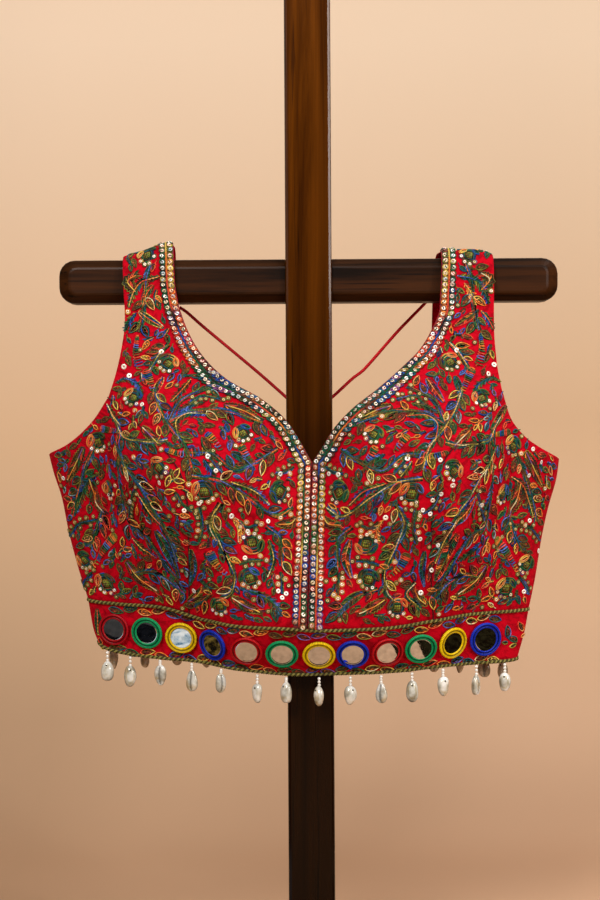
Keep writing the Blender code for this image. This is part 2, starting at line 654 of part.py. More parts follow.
def mirror(number, x, diameter, colour):
    """A round glass in a yarn ring, flat on the band under them."""
    width = HALF_WIDTH_AT_MIRRORS["left" if x < 0 else "right"]
    station = station_of(np.array([x / width]))
    height = (seam_height(JOIN_FRONT, station) + seam_height(HEM_FRONT, station)) / 2
    point, across, up, _ = cloth_frame("front", station, height)
    ring_radius = diameter / 2 - RING_TUBE
    angles = np.linspace(0, math.tau, 24, endpoint=False)
    rim = cloth_point("front", station + ring_radius * np.cos(angles) / np.linalg.norm(across),
                      height + ring_radius * np.sin(angles) / np.linalg.norm(up))
    normal = np.cross(rim[0] - rim[12], rim[6] - rim[18])
    normal /= np.linalg.norm(normal)
    clear = max(0.0, float(((rim - point[0]) @ normal).max())) + WALL / 2
    turn = Vector(normal).to_track_quat("Z", "Y").to_matrix().to_4x4()
    bpy.ops.mesh.primitive_torus_add(major_segments=18, minor_segments=5, major_radius=ring_radius * MM,
                                     minor_radius=RING_TUBE * MM)
    place_sewn_on("mirror_ring_" + number, turn, point[0] + normal * (clear + LAY + RING_TUBE), colour + " yarn")
    bpy.ops.mesh.primitive_cylinder_add(vertices=16, radius=GLASS_RADIUS * MM, depth=GLASS_THICK * MM)
    glass = place_sewn_on("mirror_glass_" + number, turn, point[0] + normal * (clear + LAY + RING_TUBE), "glass")
    glass.data.shade_flat()


def place_sewn_on(name, turn, place, material):
    """Name, turn and place the primitive that was just added."""
    part = bpy.context.object
    part.name = name
    part.data.transform(Matrix.Translation(Vector(place) * MM) @ turn)
    for collection in part.users_collection:
        collection.objects.unlink(part)
    parts.objects.link(part)
    part.data.materials.append(make_material(material))
    part.data.shade_smooth()
    return part


def dori_knot():
    """The knot of the two tie cords, with two short plain tails."""
    form = bmesh.new()
    knot = bmesh.ops.create_icosphere(form, subdivisions=2, radius=MM)
    size = Matrix.Diagonal((3.6, 2.6, 3.2, 1))
    bmesh.ops.transform(form, matrix=Matrix.Translation(Vector(DORI_KNOT) * MM) @ size, verts=knot["verts"])
    mesh = bpy.data.meshes.new("dori_knot")
    form.to_mesh(mesh)
    form.free()
    part = add_object("dori_knot", mesh, "dori")
    for number, (x, height) in enumerate(KNOT_TAILS):
        start = Vector(DORI_KNOT)
        end = Vector((x, DORI_KNOT[1] + 1, height))
        route = [start.lerp(end, share) for share in np.linspace(0, 1, 8)]
        tail = curve_to_mesh(tube("knot_tail_%d" % number, route, DORI_RADIUS, "dori"))
        parts.objects.unlink(tail)
        cutters.objects.link(tail)
        tail.hide_render = True
        tail.display_type = "WIRE"
        union = part.modifiers.new("tail", "BOOLEAN")
        union.operation = "UNION"
        union.object = tail


def stand():
    """Cross of two halved timbers on a square base."""
    height = POST_TOP - BASE_THICK - GAP
    post = box("stand_post", (POST_SIDE, POST_SIDE, height), (0, 0, POST_TOP - height / 2), "dark wood",
               POST_EDGE, 2)
    notch = POST_SIDE / 2 - LAP + 5
    cut_box(post, (POST_SIDE + 10, notch, BAR_HEIGHT + 2 * GAP), (0, LAP + notch / 2, BAR_AXIS))
    bar = crossbar()
    front = BAR_BACK_SET - BAR_DEPTH / 2
    notch = LAP + GAP - front + 5
    cut_box(bar, (POST_SIDE + 2 * GAP, notch, BAR_HEIGHT + 10), (0, LAP + GAP - notch / 2, BAR_AXIS))
    box("stand_base", (BASE_SIDE, BASE_SIDE, BASE_THICK), (0, 0, BASE_THICK / 2), "dark wood", BASE_EDGE, 2)


stand()
hem_fringe()
foot = front_panels("left") + front_panels("right")
band("front", JOIN_FRONT, HEM_FRONT, foot, 3, 2)
band("back", JOIN_BACK, HEM_BACK, back_panel(), 2, 2)
rope_route = ring_route(JOIN_FRONT, JOIN_BACK, 0, 46, 28)
curve_to_mesh(tube("band_rope", rope_route, ROPE_RADIUS, "olive rope", cyclic=True, sides=6))
for index, row in enumerate(MIRRORS, start=1):
    mirror("%02d" % index, *row)
curve_to_mesh(tube("dori_left", along(DORI_LEFT, 18), DORI_RADIUS, "dori"))
curve_to_mesh(tube("dori_right", along(DORI_RIGHT, 18), DORI_RADIUS, "dori"))
dori_knot()
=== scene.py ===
"""Looks of the choli blouse and its stand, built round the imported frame.

The blouse's tables and the functions that place points on its cloth repeat those of the part's source,
in mm. A place on the cloth is a station and a height: the station runs from -1 at the left side seam,
over 0 at the post, to 1 at the right side seam. Meshes are made in metres.
"""
import json
import math

import bpy
import numpy as np
from mathutils import Matrix, Vector
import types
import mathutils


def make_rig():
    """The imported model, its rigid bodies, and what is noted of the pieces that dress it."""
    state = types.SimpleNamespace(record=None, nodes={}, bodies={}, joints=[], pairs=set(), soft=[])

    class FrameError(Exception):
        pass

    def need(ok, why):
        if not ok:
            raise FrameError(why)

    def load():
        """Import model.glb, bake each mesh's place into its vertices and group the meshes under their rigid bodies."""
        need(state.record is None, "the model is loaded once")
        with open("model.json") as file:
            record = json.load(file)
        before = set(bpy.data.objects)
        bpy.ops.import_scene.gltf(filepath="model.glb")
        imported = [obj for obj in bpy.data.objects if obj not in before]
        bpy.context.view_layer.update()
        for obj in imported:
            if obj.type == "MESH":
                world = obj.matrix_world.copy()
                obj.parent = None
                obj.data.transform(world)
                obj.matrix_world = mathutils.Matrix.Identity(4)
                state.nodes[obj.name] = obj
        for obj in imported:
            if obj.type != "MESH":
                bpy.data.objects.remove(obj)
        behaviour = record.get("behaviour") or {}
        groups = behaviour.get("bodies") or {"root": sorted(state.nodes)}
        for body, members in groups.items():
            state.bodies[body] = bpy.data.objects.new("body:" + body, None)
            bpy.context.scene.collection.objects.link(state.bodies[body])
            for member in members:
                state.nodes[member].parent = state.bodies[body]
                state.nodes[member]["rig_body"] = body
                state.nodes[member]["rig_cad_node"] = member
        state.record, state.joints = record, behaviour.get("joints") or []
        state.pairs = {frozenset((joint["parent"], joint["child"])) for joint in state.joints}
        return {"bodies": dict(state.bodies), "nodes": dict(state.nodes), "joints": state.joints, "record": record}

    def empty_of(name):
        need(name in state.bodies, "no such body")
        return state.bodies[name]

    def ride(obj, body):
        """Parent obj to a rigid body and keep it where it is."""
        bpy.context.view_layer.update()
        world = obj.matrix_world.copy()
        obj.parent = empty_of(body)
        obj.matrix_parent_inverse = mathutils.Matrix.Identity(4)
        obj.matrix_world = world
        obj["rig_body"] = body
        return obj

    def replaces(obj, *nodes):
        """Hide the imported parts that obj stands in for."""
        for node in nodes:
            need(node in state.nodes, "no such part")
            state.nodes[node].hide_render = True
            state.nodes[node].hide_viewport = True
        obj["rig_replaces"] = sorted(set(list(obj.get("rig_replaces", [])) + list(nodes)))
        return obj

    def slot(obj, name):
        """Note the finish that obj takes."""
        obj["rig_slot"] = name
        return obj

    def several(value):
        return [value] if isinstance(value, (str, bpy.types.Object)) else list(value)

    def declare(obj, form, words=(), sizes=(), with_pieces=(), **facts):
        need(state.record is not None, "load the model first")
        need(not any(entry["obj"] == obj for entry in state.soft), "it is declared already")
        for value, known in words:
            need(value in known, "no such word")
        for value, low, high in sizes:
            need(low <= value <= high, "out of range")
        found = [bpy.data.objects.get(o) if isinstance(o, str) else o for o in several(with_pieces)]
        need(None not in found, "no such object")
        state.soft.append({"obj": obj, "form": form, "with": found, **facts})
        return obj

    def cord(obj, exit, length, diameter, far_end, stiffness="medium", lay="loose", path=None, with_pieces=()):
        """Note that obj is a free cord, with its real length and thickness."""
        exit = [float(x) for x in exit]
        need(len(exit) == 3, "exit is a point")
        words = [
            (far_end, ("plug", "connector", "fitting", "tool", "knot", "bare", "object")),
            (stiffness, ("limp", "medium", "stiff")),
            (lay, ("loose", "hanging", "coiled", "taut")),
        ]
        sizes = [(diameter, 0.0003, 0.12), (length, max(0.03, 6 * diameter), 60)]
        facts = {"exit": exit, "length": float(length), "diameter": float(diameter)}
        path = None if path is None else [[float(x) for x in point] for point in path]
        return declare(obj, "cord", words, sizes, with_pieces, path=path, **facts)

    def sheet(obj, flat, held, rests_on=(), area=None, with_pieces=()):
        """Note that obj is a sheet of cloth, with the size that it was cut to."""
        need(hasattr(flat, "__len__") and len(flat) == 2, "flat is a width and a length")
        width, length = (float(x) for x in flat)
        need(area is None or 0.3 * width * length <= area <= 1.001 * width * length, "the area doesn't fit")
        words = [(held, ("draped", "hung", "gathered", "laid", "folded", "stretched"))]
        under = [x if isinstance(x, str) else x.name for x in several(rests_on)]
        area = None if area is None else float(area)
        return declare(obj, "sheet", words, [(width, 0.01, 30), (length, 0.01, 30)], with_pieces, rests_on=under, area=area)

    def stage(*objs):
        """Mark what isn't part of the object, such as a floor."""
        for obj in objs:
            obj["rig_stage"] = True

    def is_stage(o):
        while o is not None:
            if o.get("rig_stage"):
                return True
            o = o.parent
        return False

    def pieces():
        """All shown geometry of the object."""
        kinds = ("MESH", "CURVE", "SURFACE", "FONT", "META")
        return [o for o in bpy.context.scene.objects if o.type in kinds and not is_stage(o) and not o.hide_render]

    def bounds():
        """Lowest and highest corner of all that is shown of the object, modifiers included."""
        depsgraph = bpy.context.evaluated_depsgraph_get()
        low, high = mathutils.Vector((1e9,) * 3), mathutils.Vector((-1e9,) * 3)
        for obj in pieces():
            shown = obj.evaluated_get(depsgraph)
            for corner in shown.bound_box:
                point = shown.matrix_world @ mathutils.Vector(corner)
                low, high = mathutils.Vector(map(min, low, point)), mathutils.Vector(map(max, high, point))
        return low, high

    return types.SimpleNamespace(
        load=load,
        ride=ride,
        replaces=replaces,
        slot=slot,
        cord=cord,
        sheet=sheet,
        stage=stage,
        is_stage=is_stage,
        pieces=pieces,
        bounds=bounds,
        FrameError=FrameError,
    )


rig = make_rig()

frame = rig.load()
CAD_BOX = [list(corner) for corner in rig.bounds()]
SCENE = bpy.context.scene
SCENE.view_settings.view_transform = "Standard"
MM = 0.001

# ---- camera: the photograph's frame is 600 x 900 ----
CAMERA_PLACE = (-0.0082, -1.852, 0.4543)
CAMERA_ROLL = math.radians(-0.33)
lens = bpy.data.cameras.new("camera")
lens.sensor_fit = "VERTICAL"
lens.sensor_height = 36
lens.lens = 85
camera = bpy.data.objects.new("camera", lens)
level_view = Matrix.Rotation(math.radians(90), 4, "X")
camera.matrix_world = Matrix.Translation(CAMERA_PLACE) @ level_view @ Matrix.Rotation(CAMERA_ROLL, 4, "Z")
SCENE.collection.objects.link(camera)
SCENE.camera = camera

# ---- outline of the blouse, as in the part's source: (x, height) ----
WALL = 2.0
TRIM_WIDTH = 11.5
STRAP_TURN = 600.0
SHOULDER = 640.0
SIDES = ("left", "right")
SIGN = {"left": -1, "right": 1}

SEAM = 0.25            # half the gap between two panels
LAY = 0.8              # from the cloth to what lies on it
ROPE_RADIUS = 1.6
RING_TUBE = 1.9
STRAP_STEPS, CUP_STEPS, BODY_STEPS = 48, 32, 44
SETTLED_ROWS = 20      # last rows of a panel that bend to its seam

# half width of the blouse: (height, half width), from the hem up to the armpit
HALF_WIDTH = {
    "left": [(287, 183.5), (298.5, 188), (325.7, 193), (351, 200.5), (384, 209), (414.5, 215),
             (436.5, 222), (452.5, 226)],
    "right": [(271, 179), (296.5, 186), (315, 189.5), (341.5, 195), (375, 200.5), (402.5, 206.5),
              (431, 214.5), (446, 216.5)],
}
NECK_FRONT = {
    "left": [(-117.5, 640), (-116, 618), (-115, 600), (-112.5, 584), (-107.5, 567), (-99.5, 549),
             (-88, 532), (-70, 514.5), (-40, 497), (-20.5, 480), (-9, 463), (2, 444)],
    "right": [(114.5, 640), (114.5, 618), (114, 600), (113, 587), (112, 574), (105, 557), (94.5, 540),
              (77, 522.5), (57, 505), (35.5, 488), (20, 471), (10, 455), (2, 444)],
}
CENTRE_FRONT = [(2, 444), (-0.5, 375), (-3, 303)]
ARMHOLE_TOP = {
    "left": [(-161, 640), (-160.5, 618), (-160, 600), (-158.5, 567), (-161.5, 541), (-166, 520), (-172, 500)],
    "right": [(160, 640), (160, 618), (160, 600), (159.5, 560), (161, 530), (165, 503)],
}
ARMHOLE_LOW = {
    "left": [(-172, 500), (-184, 482), (-200.5, 466), (-211, 459), (-226, 452.5)],
    "right": [(165, 503), (171.5, 481), (186, 463.5), (198, 455.5), (216.5, 446)],
}
PRINCESS_TOP = {
    "left": [(-172, 500), (-158, 487), (-132, 466), (-117, 450), (-105, 428)],
    "right": [(165, 503), (155, 487), (131, 466), (115, 450), (104, 428)],
}
PRINCESS_LOW = {
    "left": [(-105, 428), (-101.5, 396), (-102.5, 350), (-104, 313)],
    "right": [(104, 428), (101.5, 396), (102, 350), (104, 309)],
}
NECK_BACK = {
    "left": [(-117.5, 640), (-117, 618), (-117, 600), (-115.5, 570), (-112, 520), (-104, 470), (-84, 428),
             (-48, 404), (0, 397)],
    "right": [(114.5, 640), (112, 618), (110.5, 600), (109.5, 570), (108, 520), (102, 470), (84, 428),
              (48, 404), (0, 397)],
}
CENTRE_BACK = [(0, 397), (0, 360), (0, 328)]

# the seam between body and band, and the hem: (x, height); the first and last rows are side seams
JOIN_FRONT = [(-193, 325.7), (-164, 322.5), (-129, 321), (-94, 311), (-60, 306), (-26, 304.5), (8, 302.7),
              (42, 303.2), (76, 304.8), (110, 310), (145, 313.4), (165, 314), (189.5, 315)]
JOIN_BACK = [(-193, 325.7), (-150, 329), (0, 328), (110, 324), (189.5, 315)]
HEM_FRONT = [(-183.5, 287), (-165, 278.5), (-130, 274.3), (-95, 271.5), (-60, 266.5), (-10, 262),
             (25, 262.6), (76, 264), (111, 267.3), (146, 268.3), (165, 268.8), (179, 271)]
HEM_BACK = [(-183.5, 287), (-150, 288), (0, 285), (110, 281), (179, 271)]

# top of the straps above the height where they turn: (x, rise)
RISE = [(-161, 22.5), (-145, 26), (-137, 28.5), (-129, 32), (-116, 33), (114, 26), (145, 26), (160, 22.5)]
# the strap over the bar: (share of the way up to the shoulder seam, depth in front, share of the rise)
OVER_BAR_FRONT = [(0, 21, 0), (0.25, 20.5, 0.45), (0.5, 15.5, 0.86), (0.75, 6, 1), (1, -4.8, 1)]
OVER_BAR_BACK = [(0, 31, 0), (0.25, 30.5, 0.45), (0.5, 25.5, 0.86), (0.75, 16, 1), (1, 5.2, 1)]

# depth of the cloth in front of, or behind, the post's axis, at these stations
STATIONS = (-1, -0.67, -0.42, -0.22, 0, 0.22, 0.42, 0.67, 1)
FRONT_SECTIONS = [  # height, left side, flank, cup, inner, centre, inner, cup, flank, right side
    (245, 0.2, 10, 20, 25, 26, 25, 20, 11, 0.2),
    (262, 0.2, 12, 24, 34, 36, 35, 28, 14, 0.2),
    (285, 0.2, 14, 28, 48, 50, 49, 38, 17, 0.2),
    (310, 0.2, 17, 36, 61, 64, 62, 48, 20, 0.2),
    (340, 0.2, 24, 52, 67, 64, 68, 58, 28, 0.2),
    (370, 0.2, 30, 68, 72, 62, 73, 70, 34, 0.2),
    (400, 0.2, 34, 82, 79, 59, 80, 82, 38, 0.2),
    (430, 0.2, 36, 90, 84, 55, 84, 88, 40, 0.2),
    (455, 0.2, 36, 86, 80, 51, 80, 84, 40, 0.2),
    (485, 6, 34, 70, 68, 48, 68, 70, 36, 6),
    (520, 16, 27, 46, 52, 48, 52, 46, 29, 16),
    (560, 21, 23, 28, 34, 36, 34, 28, 24, 21),
    (600, 21, 21, 21, 21, 21, 21, 21, 21, 21),
]
BACK_SECTIONS = [
    (262, 0.2, 20, 28, 32, 34, 32, 28, 20, 0.2),
    (310, 0.2, 22, 32, 36, 38, 36, 32, 22, 0.2),
    (380, 0.2, 26, 37, 41, 43, 41, 37, 26, 0.2),
    (450, 0.2, 28, 40, 44, 45, 44, 40, 28, 0.2),
    (500, 10, 30, 38, 40, 41, 40, 38, 30, 10),
    (560, 31, 33, 34, 34, 34, 34, 34, 33, 31),
    (600, 31, 31, 31, 31, 31, 31, 31, 31, 31),
]
# largest folds of the front: from (x, height) to (x, height), half width, height of the ridge or -trough
FOLDS = [
    (-176, 470, -172, 395, 9, -7),
    (-158, 455, -118, 330, 9, 6),
    (-148, 400, -122, 345, 10, -6),
    (-104, 355, -106, 245, 12, -4),
    (-72, 355, -68, 245, 12, 4),
    (-60, 400, -20, 335, 13, -4),
    (150, 478, 106, 335, 11, 8),
    (126, 440, 88, 325, 11, -7),
    (178, 460, 158, 385, 8, -5),
    (60, 392, 26, 340, 13, -4),
    (112, 350, 110, 245, 12, 4),
]

CREASES = [  # small folds, as in the table above
    (-186, 470, -160, 436, 4, -1.6), (-150, 470, -134, 440, 3, 1.2), (-138, 430, -112, 380, 4, -1.5),
    (-122, 440, -104, 390, 3.5, 1.2), (-168, 430, -158, 380, 4, 1.3), (-96, 330, -92, 310, 3.5, 1.2),
    (-120, 336, -118, 312, 4, -1.2), (146, 470, 120, 410, 4, -1.8), (134, 476, 112, 430, 3.5, 1.4),
    (152, 440, 124, 372, 4, 1.8), (140, 392, 116, 330, 4, -1.6), (110, 420, 94, 370, 4, -1.4),
    (98, 372, 84, 330, 4, 1.2), (176, 430, 168, 380, 4, -1.4), (72, 340, 70, 314, 4, -1.0),
    (-172, 452, -170, 400, 4.5, -5.5), (-163, 446, -150, 372, 3.6, -4.5), (-181, 440, -186, 396, 3.6, -3.5),
    (-146, 400, -128, 350, 3.8, -4.5), (-134, 452, -124, 418, 3.2, -3.0), (-186, 380, -176, 345, 3.4, -2.6),
    (-118, 372, -110, 335, 3.0, -2.6), (-60, 350, -72, 318, 3.2, -2.0), (-40, 352, -46, 320, 3.0, -1.8),
    (142, 464, 138, 392, 4.5, -5.5), (154, 452, 148, 380, 3.6, -4.5), (128, 430, 120, 380, 3.4, -3.5),
    (168, 446, 172, 398, 3.6, -3.6), (164, 384, 154, 342, 3.4, -3.0), (118, 380, 110, 336, 3.2, -3.0),
    (62, 352, 70, 318, 3.0, -2.0), (44, 350, 48, 318, 3.0, -1.8),
]

HALF_WIDTH_AT_MIRRORS = {"left": 188.0, "right": 185.5}
MIRRORS = [  # x, outer diameter, colour of the yarn
    (-168.5, 28.0, "maroon"), (-140, 28.0, "green"), (-111, 28.0, "yellow"), (-83, 28.0, "blue"),
    (-55.5, 28.0, "red"), (-25, 28.0, "green"), (7, 28.0, "yellow"), (36, 28.0, "blue"),
    (65.5, 28.0, "red"), (94, 28.0, "green"), (120.5, 28.0, "yellow"), (150, 29.6, "blue"),
]
COWRIE_LENGTH = 17.5
COWRIE_WIDTH = 11.5
COWRIE_DEPTH = 7.5
COWRIE_THREAD = 8.0    # from the rope's middle to the shell
COWRIES_FRONT = [  # x, added length of the thread
    (-175, 2), (-155, 2), (-129, -2), (-101, 0), (-75, -3), (-45.5, 1), (-21, -2), (7, 1), (33.5, 1),
    (59.5, 0), (86, 1), (112, 0), (142, 2), (167, 1),
]
COWRIES_BACK = [
    (-170, 0), (-144, 1), (-117, -1), (-92, 1), (-66, 0), (-40, 1), (-13, 0), (14, -1), (40, 1), (66, 0),
    (86, 1), (107, 0), (129, -1), (150, 1), (166, 0),
]
DORI_RADIUS = 1.0
DORI_KNOT = (-1.5, 34.0, 484.0)
DORI_LEFT = [(-114.3, 33.5, 581.5), (-109, 33.5, 578), (-96, 33.5, 566.5), (-70, 33.7, 544.5),
             (-40, 33.9, 519), (-5.5, 34, 487.8)]
DORI_RIGHT = [(108.6, 33.5, 590), (104, 33.5, 584.5), (80, 33.6, 560), (47, 33.8, 523.5), (40, 33.8, 518.5),
              (20, 33.9, 500.5), (3, 34, 487.5)]
KNOT_TAILS = [(-8, 440), (7, 436)]


# ---- curves and tables ----
def smooth(knots, values, at):
    """Smooth curves through the values at rising knots, with no overshoot, read at each of `at`.

    Values are one for each knot, or a row for each knot with a column for each place in `at`.
    """
    knots = np.asarray(knots, dtype=float)
    values = np.asarray(values, dtype=float)
    if values.ndim == 1:
        values = np.repeat(values[:, None], len(at), axis=1)
    gap = np.diff(knots)[:, None]
    rise = np.diff(values, axis=0) / gap
    level = rise[1:] * rise[:-1] <= 0
    before, after = 2 * gap[1:] + gap[:-1], gap[1:] + 2 * gap[:-1]
    mean = (before + after) / (before / np.where(level, 1, rise[:-1]) + after / np.where(level, 1, rise[1:]))
    slopes = np.vstack([rise[:1], np.where(level, 0, mean), rise[-1:]])
    low = np.clip(np.searchsorted(knots, at) - 1, 0, len(knots) - 2)
    column = np.arange(len(at))
    step = knots[low + 1] - knots[low]
    t = np.clip((at - knots[low]) / step, 0, 1)
    start, end = values[low, column], values[low + 1, column]
    leave, arrive = slopes[low, column] * step, slopes[low + 1, column] * step
    return (start * (1 + 2 * t) * (1 - t) ** 2 + leave * t * (1 - t) ** 2
            + end * t * t * (3 - 2 * t) - arrive * t * t * (1 - t))


def table_value(rows, column, at):
    """A column of a table whose first column rises, read at each of `at`."""
    rows = np.asarray(rows, dtype=float)
    return smooth(rows[:, 0], rows[:, column], at)


def read_along(at, run, rows):
    """The columns of `rows`, given at each `run`, read at each of `at` by straight steps."""
    return np.stack([np.interp(at, run, rows[:, k]) for k in range(rows.shape[1])], axis=1)


def run_of(points):
    """Length along 2-D or 3-D points."""
    return np.concatenate([[0], np.cumsum(np.linalg.norm(np.diff(points, axis=0), axis=1))])


def along(points, steps, first=0, last=None):
    """Evenly spaced points on a smooth curve through the given points, between two of them."""
    points = np.asarray(points, dtype=float)
    last = len(points) - 1 if last is None else last
    number = np.arange(len(points))
    fine = np.linspace(0, len(points) - 1, 20 * len(points))
    curve = np.stack([smooth(number, points[:, k], fine) for k in range(points.shape[1])], axis=1)
    length = run_of(curve)
    return read_along(np.linspace(*np.interp([first, last], fine, length), steps + 1), length, curve)


# ---- places on the cloth ----
WIDTH_HEIGHTS = np.arange(250, 660, 0.5)
WIDTHS = {side: table_value(HALF_WIDTH[side], 1, WIDTH_HEIGHTS) for side in SIDES}


def half_width(side, height):
    """Half width in mm of one side of the blouse at these heights."""
    return np.interp(height, WIDTH_HEIGHTS, WIDTHS[side])


def own_width(sign, height):
    """Half width on the side that each sign stands for."""
    return np.where(sign < 0, half_width("left", height), half_width("right", height))


def station_of(share):
    """Station of a place at this signed share of the half width."""
    turn = 1 - np.sqrt(1 - np.clip(np.abs(share), 0, 1))
    return np.sign(share) * (np.sqrt(1 + 8 * turn) - 1) / 2


def share_of(station):
    """Signed share of the half width at a station, with a round turn into the side seams."""
    turn = np.abs(station) * (1 + np.abs(station)) / 2
    return np.sign(station) * (2 * turn - turn ** 2)


def to_stations(places):
    """(x, height) places as (station, height)."""
    places = np.asarray(places, dtype=float)
    width = own_width(places[:, 0], places[:, 1])
    return np.stack([station_of(places[:, 0] / width), places[:, 1]], axis=1)


def flat_x(station, height):
    """x in mm of places, as seen from the front."""
    return share_of(station) * own_width(station, np.minimum(height, STRAP_TURN))


def ridges(table, x, height):
    """What the folds of a table add to the front's depth."""
    total = np.zeros(len(x))
    for x0, h0, x1, h1, half, ridge in table:
        run = np.array([x1 - x0, h1 - h0], dtype=float)
        share = ((x - x0) * run[0] + (height - h0) * run[1]) / (run @ run)
        aside = ((x - x0) * run[1] - (height - h0) * run[0]) / math.hypot(*run)
        fade = np.exp(-(np.clip(np.abs(share - 0.5) - 0.35, 0, None) / 0.2) ** 2)
        total += ridge * fade * np.exp(-(aside / half) ** 2)
    return total


def wrinkles(x, height):
    """Small creases and puckers of the cloth, which the solids leave out."""
    pucker = np.sin(x / 5.1 + 1.7 * np.sin(height / 17)) * np.sin(height / 6.3 + 1.3 * np.sin(x / 13))
    return ridges(CREASES, x, height) + 0.35 * pucker


def cloth_point(face, station, height):
    """Points on the middle of the wall, in mm: face is 'front' or 'back'."""
    station = np.clip(np.asarray(station, dtype=float), -1, 1)
    height = np.asarray(height, dtype=float)
    sections = np.asarray(FRONT_SECTIONS if face == "front" else BACK_SECTIONS, dtype=float)
    over_bar = OVER_BAR_FRONT if face == "front" else OVER_BAR_BACK
    hanging = np.minimum(height, STRAP_TURN)
    x = flat_x(station, height)
    across = np.stack([smooth(STATIONS, row[1:], station) for row in sections])
    depth = smooth(sections[:, 0], across, hanging)
    if face == "front":
        shape = ridges(FOLDS, x, hanging) + wrinkles(x, hanging)
        depth = depth + shape * np.clip((1 - np.abs(station)) / 0.15, 0, 1)
    depth = np.maximum(depth, SEAM)
    share = (height - STRAP_TURN) / (SHOULDER - STRAP_TURN)
    depth = np.where(share > 0, table_value(over_bar, 1, share), depth)
    lift = np.where(share > 0, table_value(over_bar, 2, share) * table_value(RISE, 1, x), 0)
    return np.stack([x, -depth if face == "front" else depth, hanging + lift], axis=1)


def cloth_frame(face, station, height):
    """Points with the across, up and outward directions of the cloth there, and mm per unit of each."""
    station = np.clip(np.asarray(station, dtype=float), -1, 1)
    height = np.minimum(np.asarray(height, dtype=float), SHOULDER - 0.5)
    point = cloth_point(face, station, height)
    step, rise = 0.004, 0.4
    left, right = np.clip(station - step, -1, 1), np.clip(station + step, -1, 1)
    across = cloth_point(face, right, height) - cloth_point(face, left, height)
    across = across / (right - left)[:, None]
    up = (cloth_point(face, station, height + rise) - cloth_point(face, station, height - rise)) / (2 * rise)
    outward = np.cross(across, up) * (1 if face == "front" else -1)
    outward = outward / np.linalg.norm(outward, axis=1)[:, None]
    return point, across, up, outward


def seam_height(table, station):
    """Height of the join or the hem at these stations."""
    rows = np.asarray(table, dtype=float)
    ends = np.where(rows[:, 0] < 0, -rows[0, 0], rows[-1, 0])
    return smooth(station_of(rows[:, 0] / ends), rows[:, 1], np.asarray(station, dtype=float))


# ---- meshes ----
TURNED = [0, 3, 2, 1]  # a quad's corners the other way round


def grid_faces(index):
    """Quads over a grid of vertex numbers."""
    return np.stack([index[:-1, :-1], index[:-1, 1:], index[1:, 1:], index[1:, :-1]], axis=2).reshape(-1, 4)


def rim_of(index):
    """The vertex numbers round a grid's edge."""
    return np.concatenate([index[0, :-1], index[:-1, -1], index[-1, :0:-1], index[:0:-1, 0]])


def round_faces(index):
    """Quads between the closed rings of vertex numbers in the rows of `index`."""
    turned = np.roll(index, -1, axis=1)
    return np.stack([index[:-1], index[1:], turned[1:], turned[:-1]], axis=2).reshape(-1, 4)


def torus_faces(rows, around):
    """Quads of a closed ring of `rows` rings, numbered on from each to the next."""
    index = np.arange(rows * around).reshape(rows, around)
    return round_faces(np.vstack([index, index[:1]]))


def ball_faces(rows, around):
    """Quads and cap triangles of a ball whose two poles come after its rings."""
    index = np.arange(rows * around).reshape(rows, around)
    turned = np.roll(index, -1, axis=1)
    top, bottom = (np.full(around, rows * around + pole) for pole in (0, 1))
    caps = np.vstack([np.stack([top, index[0], turned[0]], axis=1),
                      np.stack([bottom, turned[-1], index[-1]], axis=1)])
    return round_faces(index), caps


def unit(vectors):
    """The rows of an array brought to length 1."""
    return vectors / np.linalg.norm(vectors, axis=1)[:, None]


def circle(side, other, around):
    """Directions round a circle, for each pair of directions of its plane."""
    angle = math.tau * np.arange(around) / around
    return side[:, None, :] * np.cos(angle)[None, :, None] + other[:, None, :] * np.sin(angle)[None, :, None]


def new_mesh(name, points, polygons, material, colours=None, uvs=None):
    """A smoothly shaded object from points in mm and a list of index arrays, each with rows of one length."""
    mesh = bpy.data.meshes.new(name)
    points = np.asarray(points, dtype=np.float32) * MM
    mesh.vertices.add(len(points))
    mesh.vertices.foreach_set("co", points.ravel())
    blocks = [np.asarray(block, dtype=np.int32) for block in polygons if len(block)]
    corners = np.concatenate([block.ravel() for block in blocks])
    sizes = np.concatenate([np.full(len(block), block.shape[1], np.int32) for block in blocks])
    starts = np.concatenate([[0], np.cumsum(sizes)[:-1]]).astype(np.int32)
    mesh.loops.add(len(corners))
    mesh.loops.foreach_set("vertex_index", corners)
    mesh.polygons.add(len(sizes))
    mesh.polygons.foreach_set("loop_start", starts)
    mesh.polygons.foreach_set("loop_total", sizes)
    mesh.update(calc_edges=True)
    if colours is not None:
        layer = mesh.color_attributes.new("tint", "FLOAT_COLOR", "POINT")
        full = np.ones((len(points), 4), np.float32)
        full[:, :3] = colours
        layer.data.foreach_set("color", full.ravel())
    if uvs is not None:
        layer = mesh.uv_layers.new(name="run")
        if len(uvs) == len(points):
            uvs = np.asarray(uvs)[corners]
        layer.data.foreach_set("uv", np.asarray(uvs, dtype=np.float32).ravel())
    mesh.shade_smooth()
    mesh.validate()
    obj = bpy.data.objects.new(name, mesh)
    SCENE.collection.objects.link(obj)
    mesh.materials.append(material)
    return obj


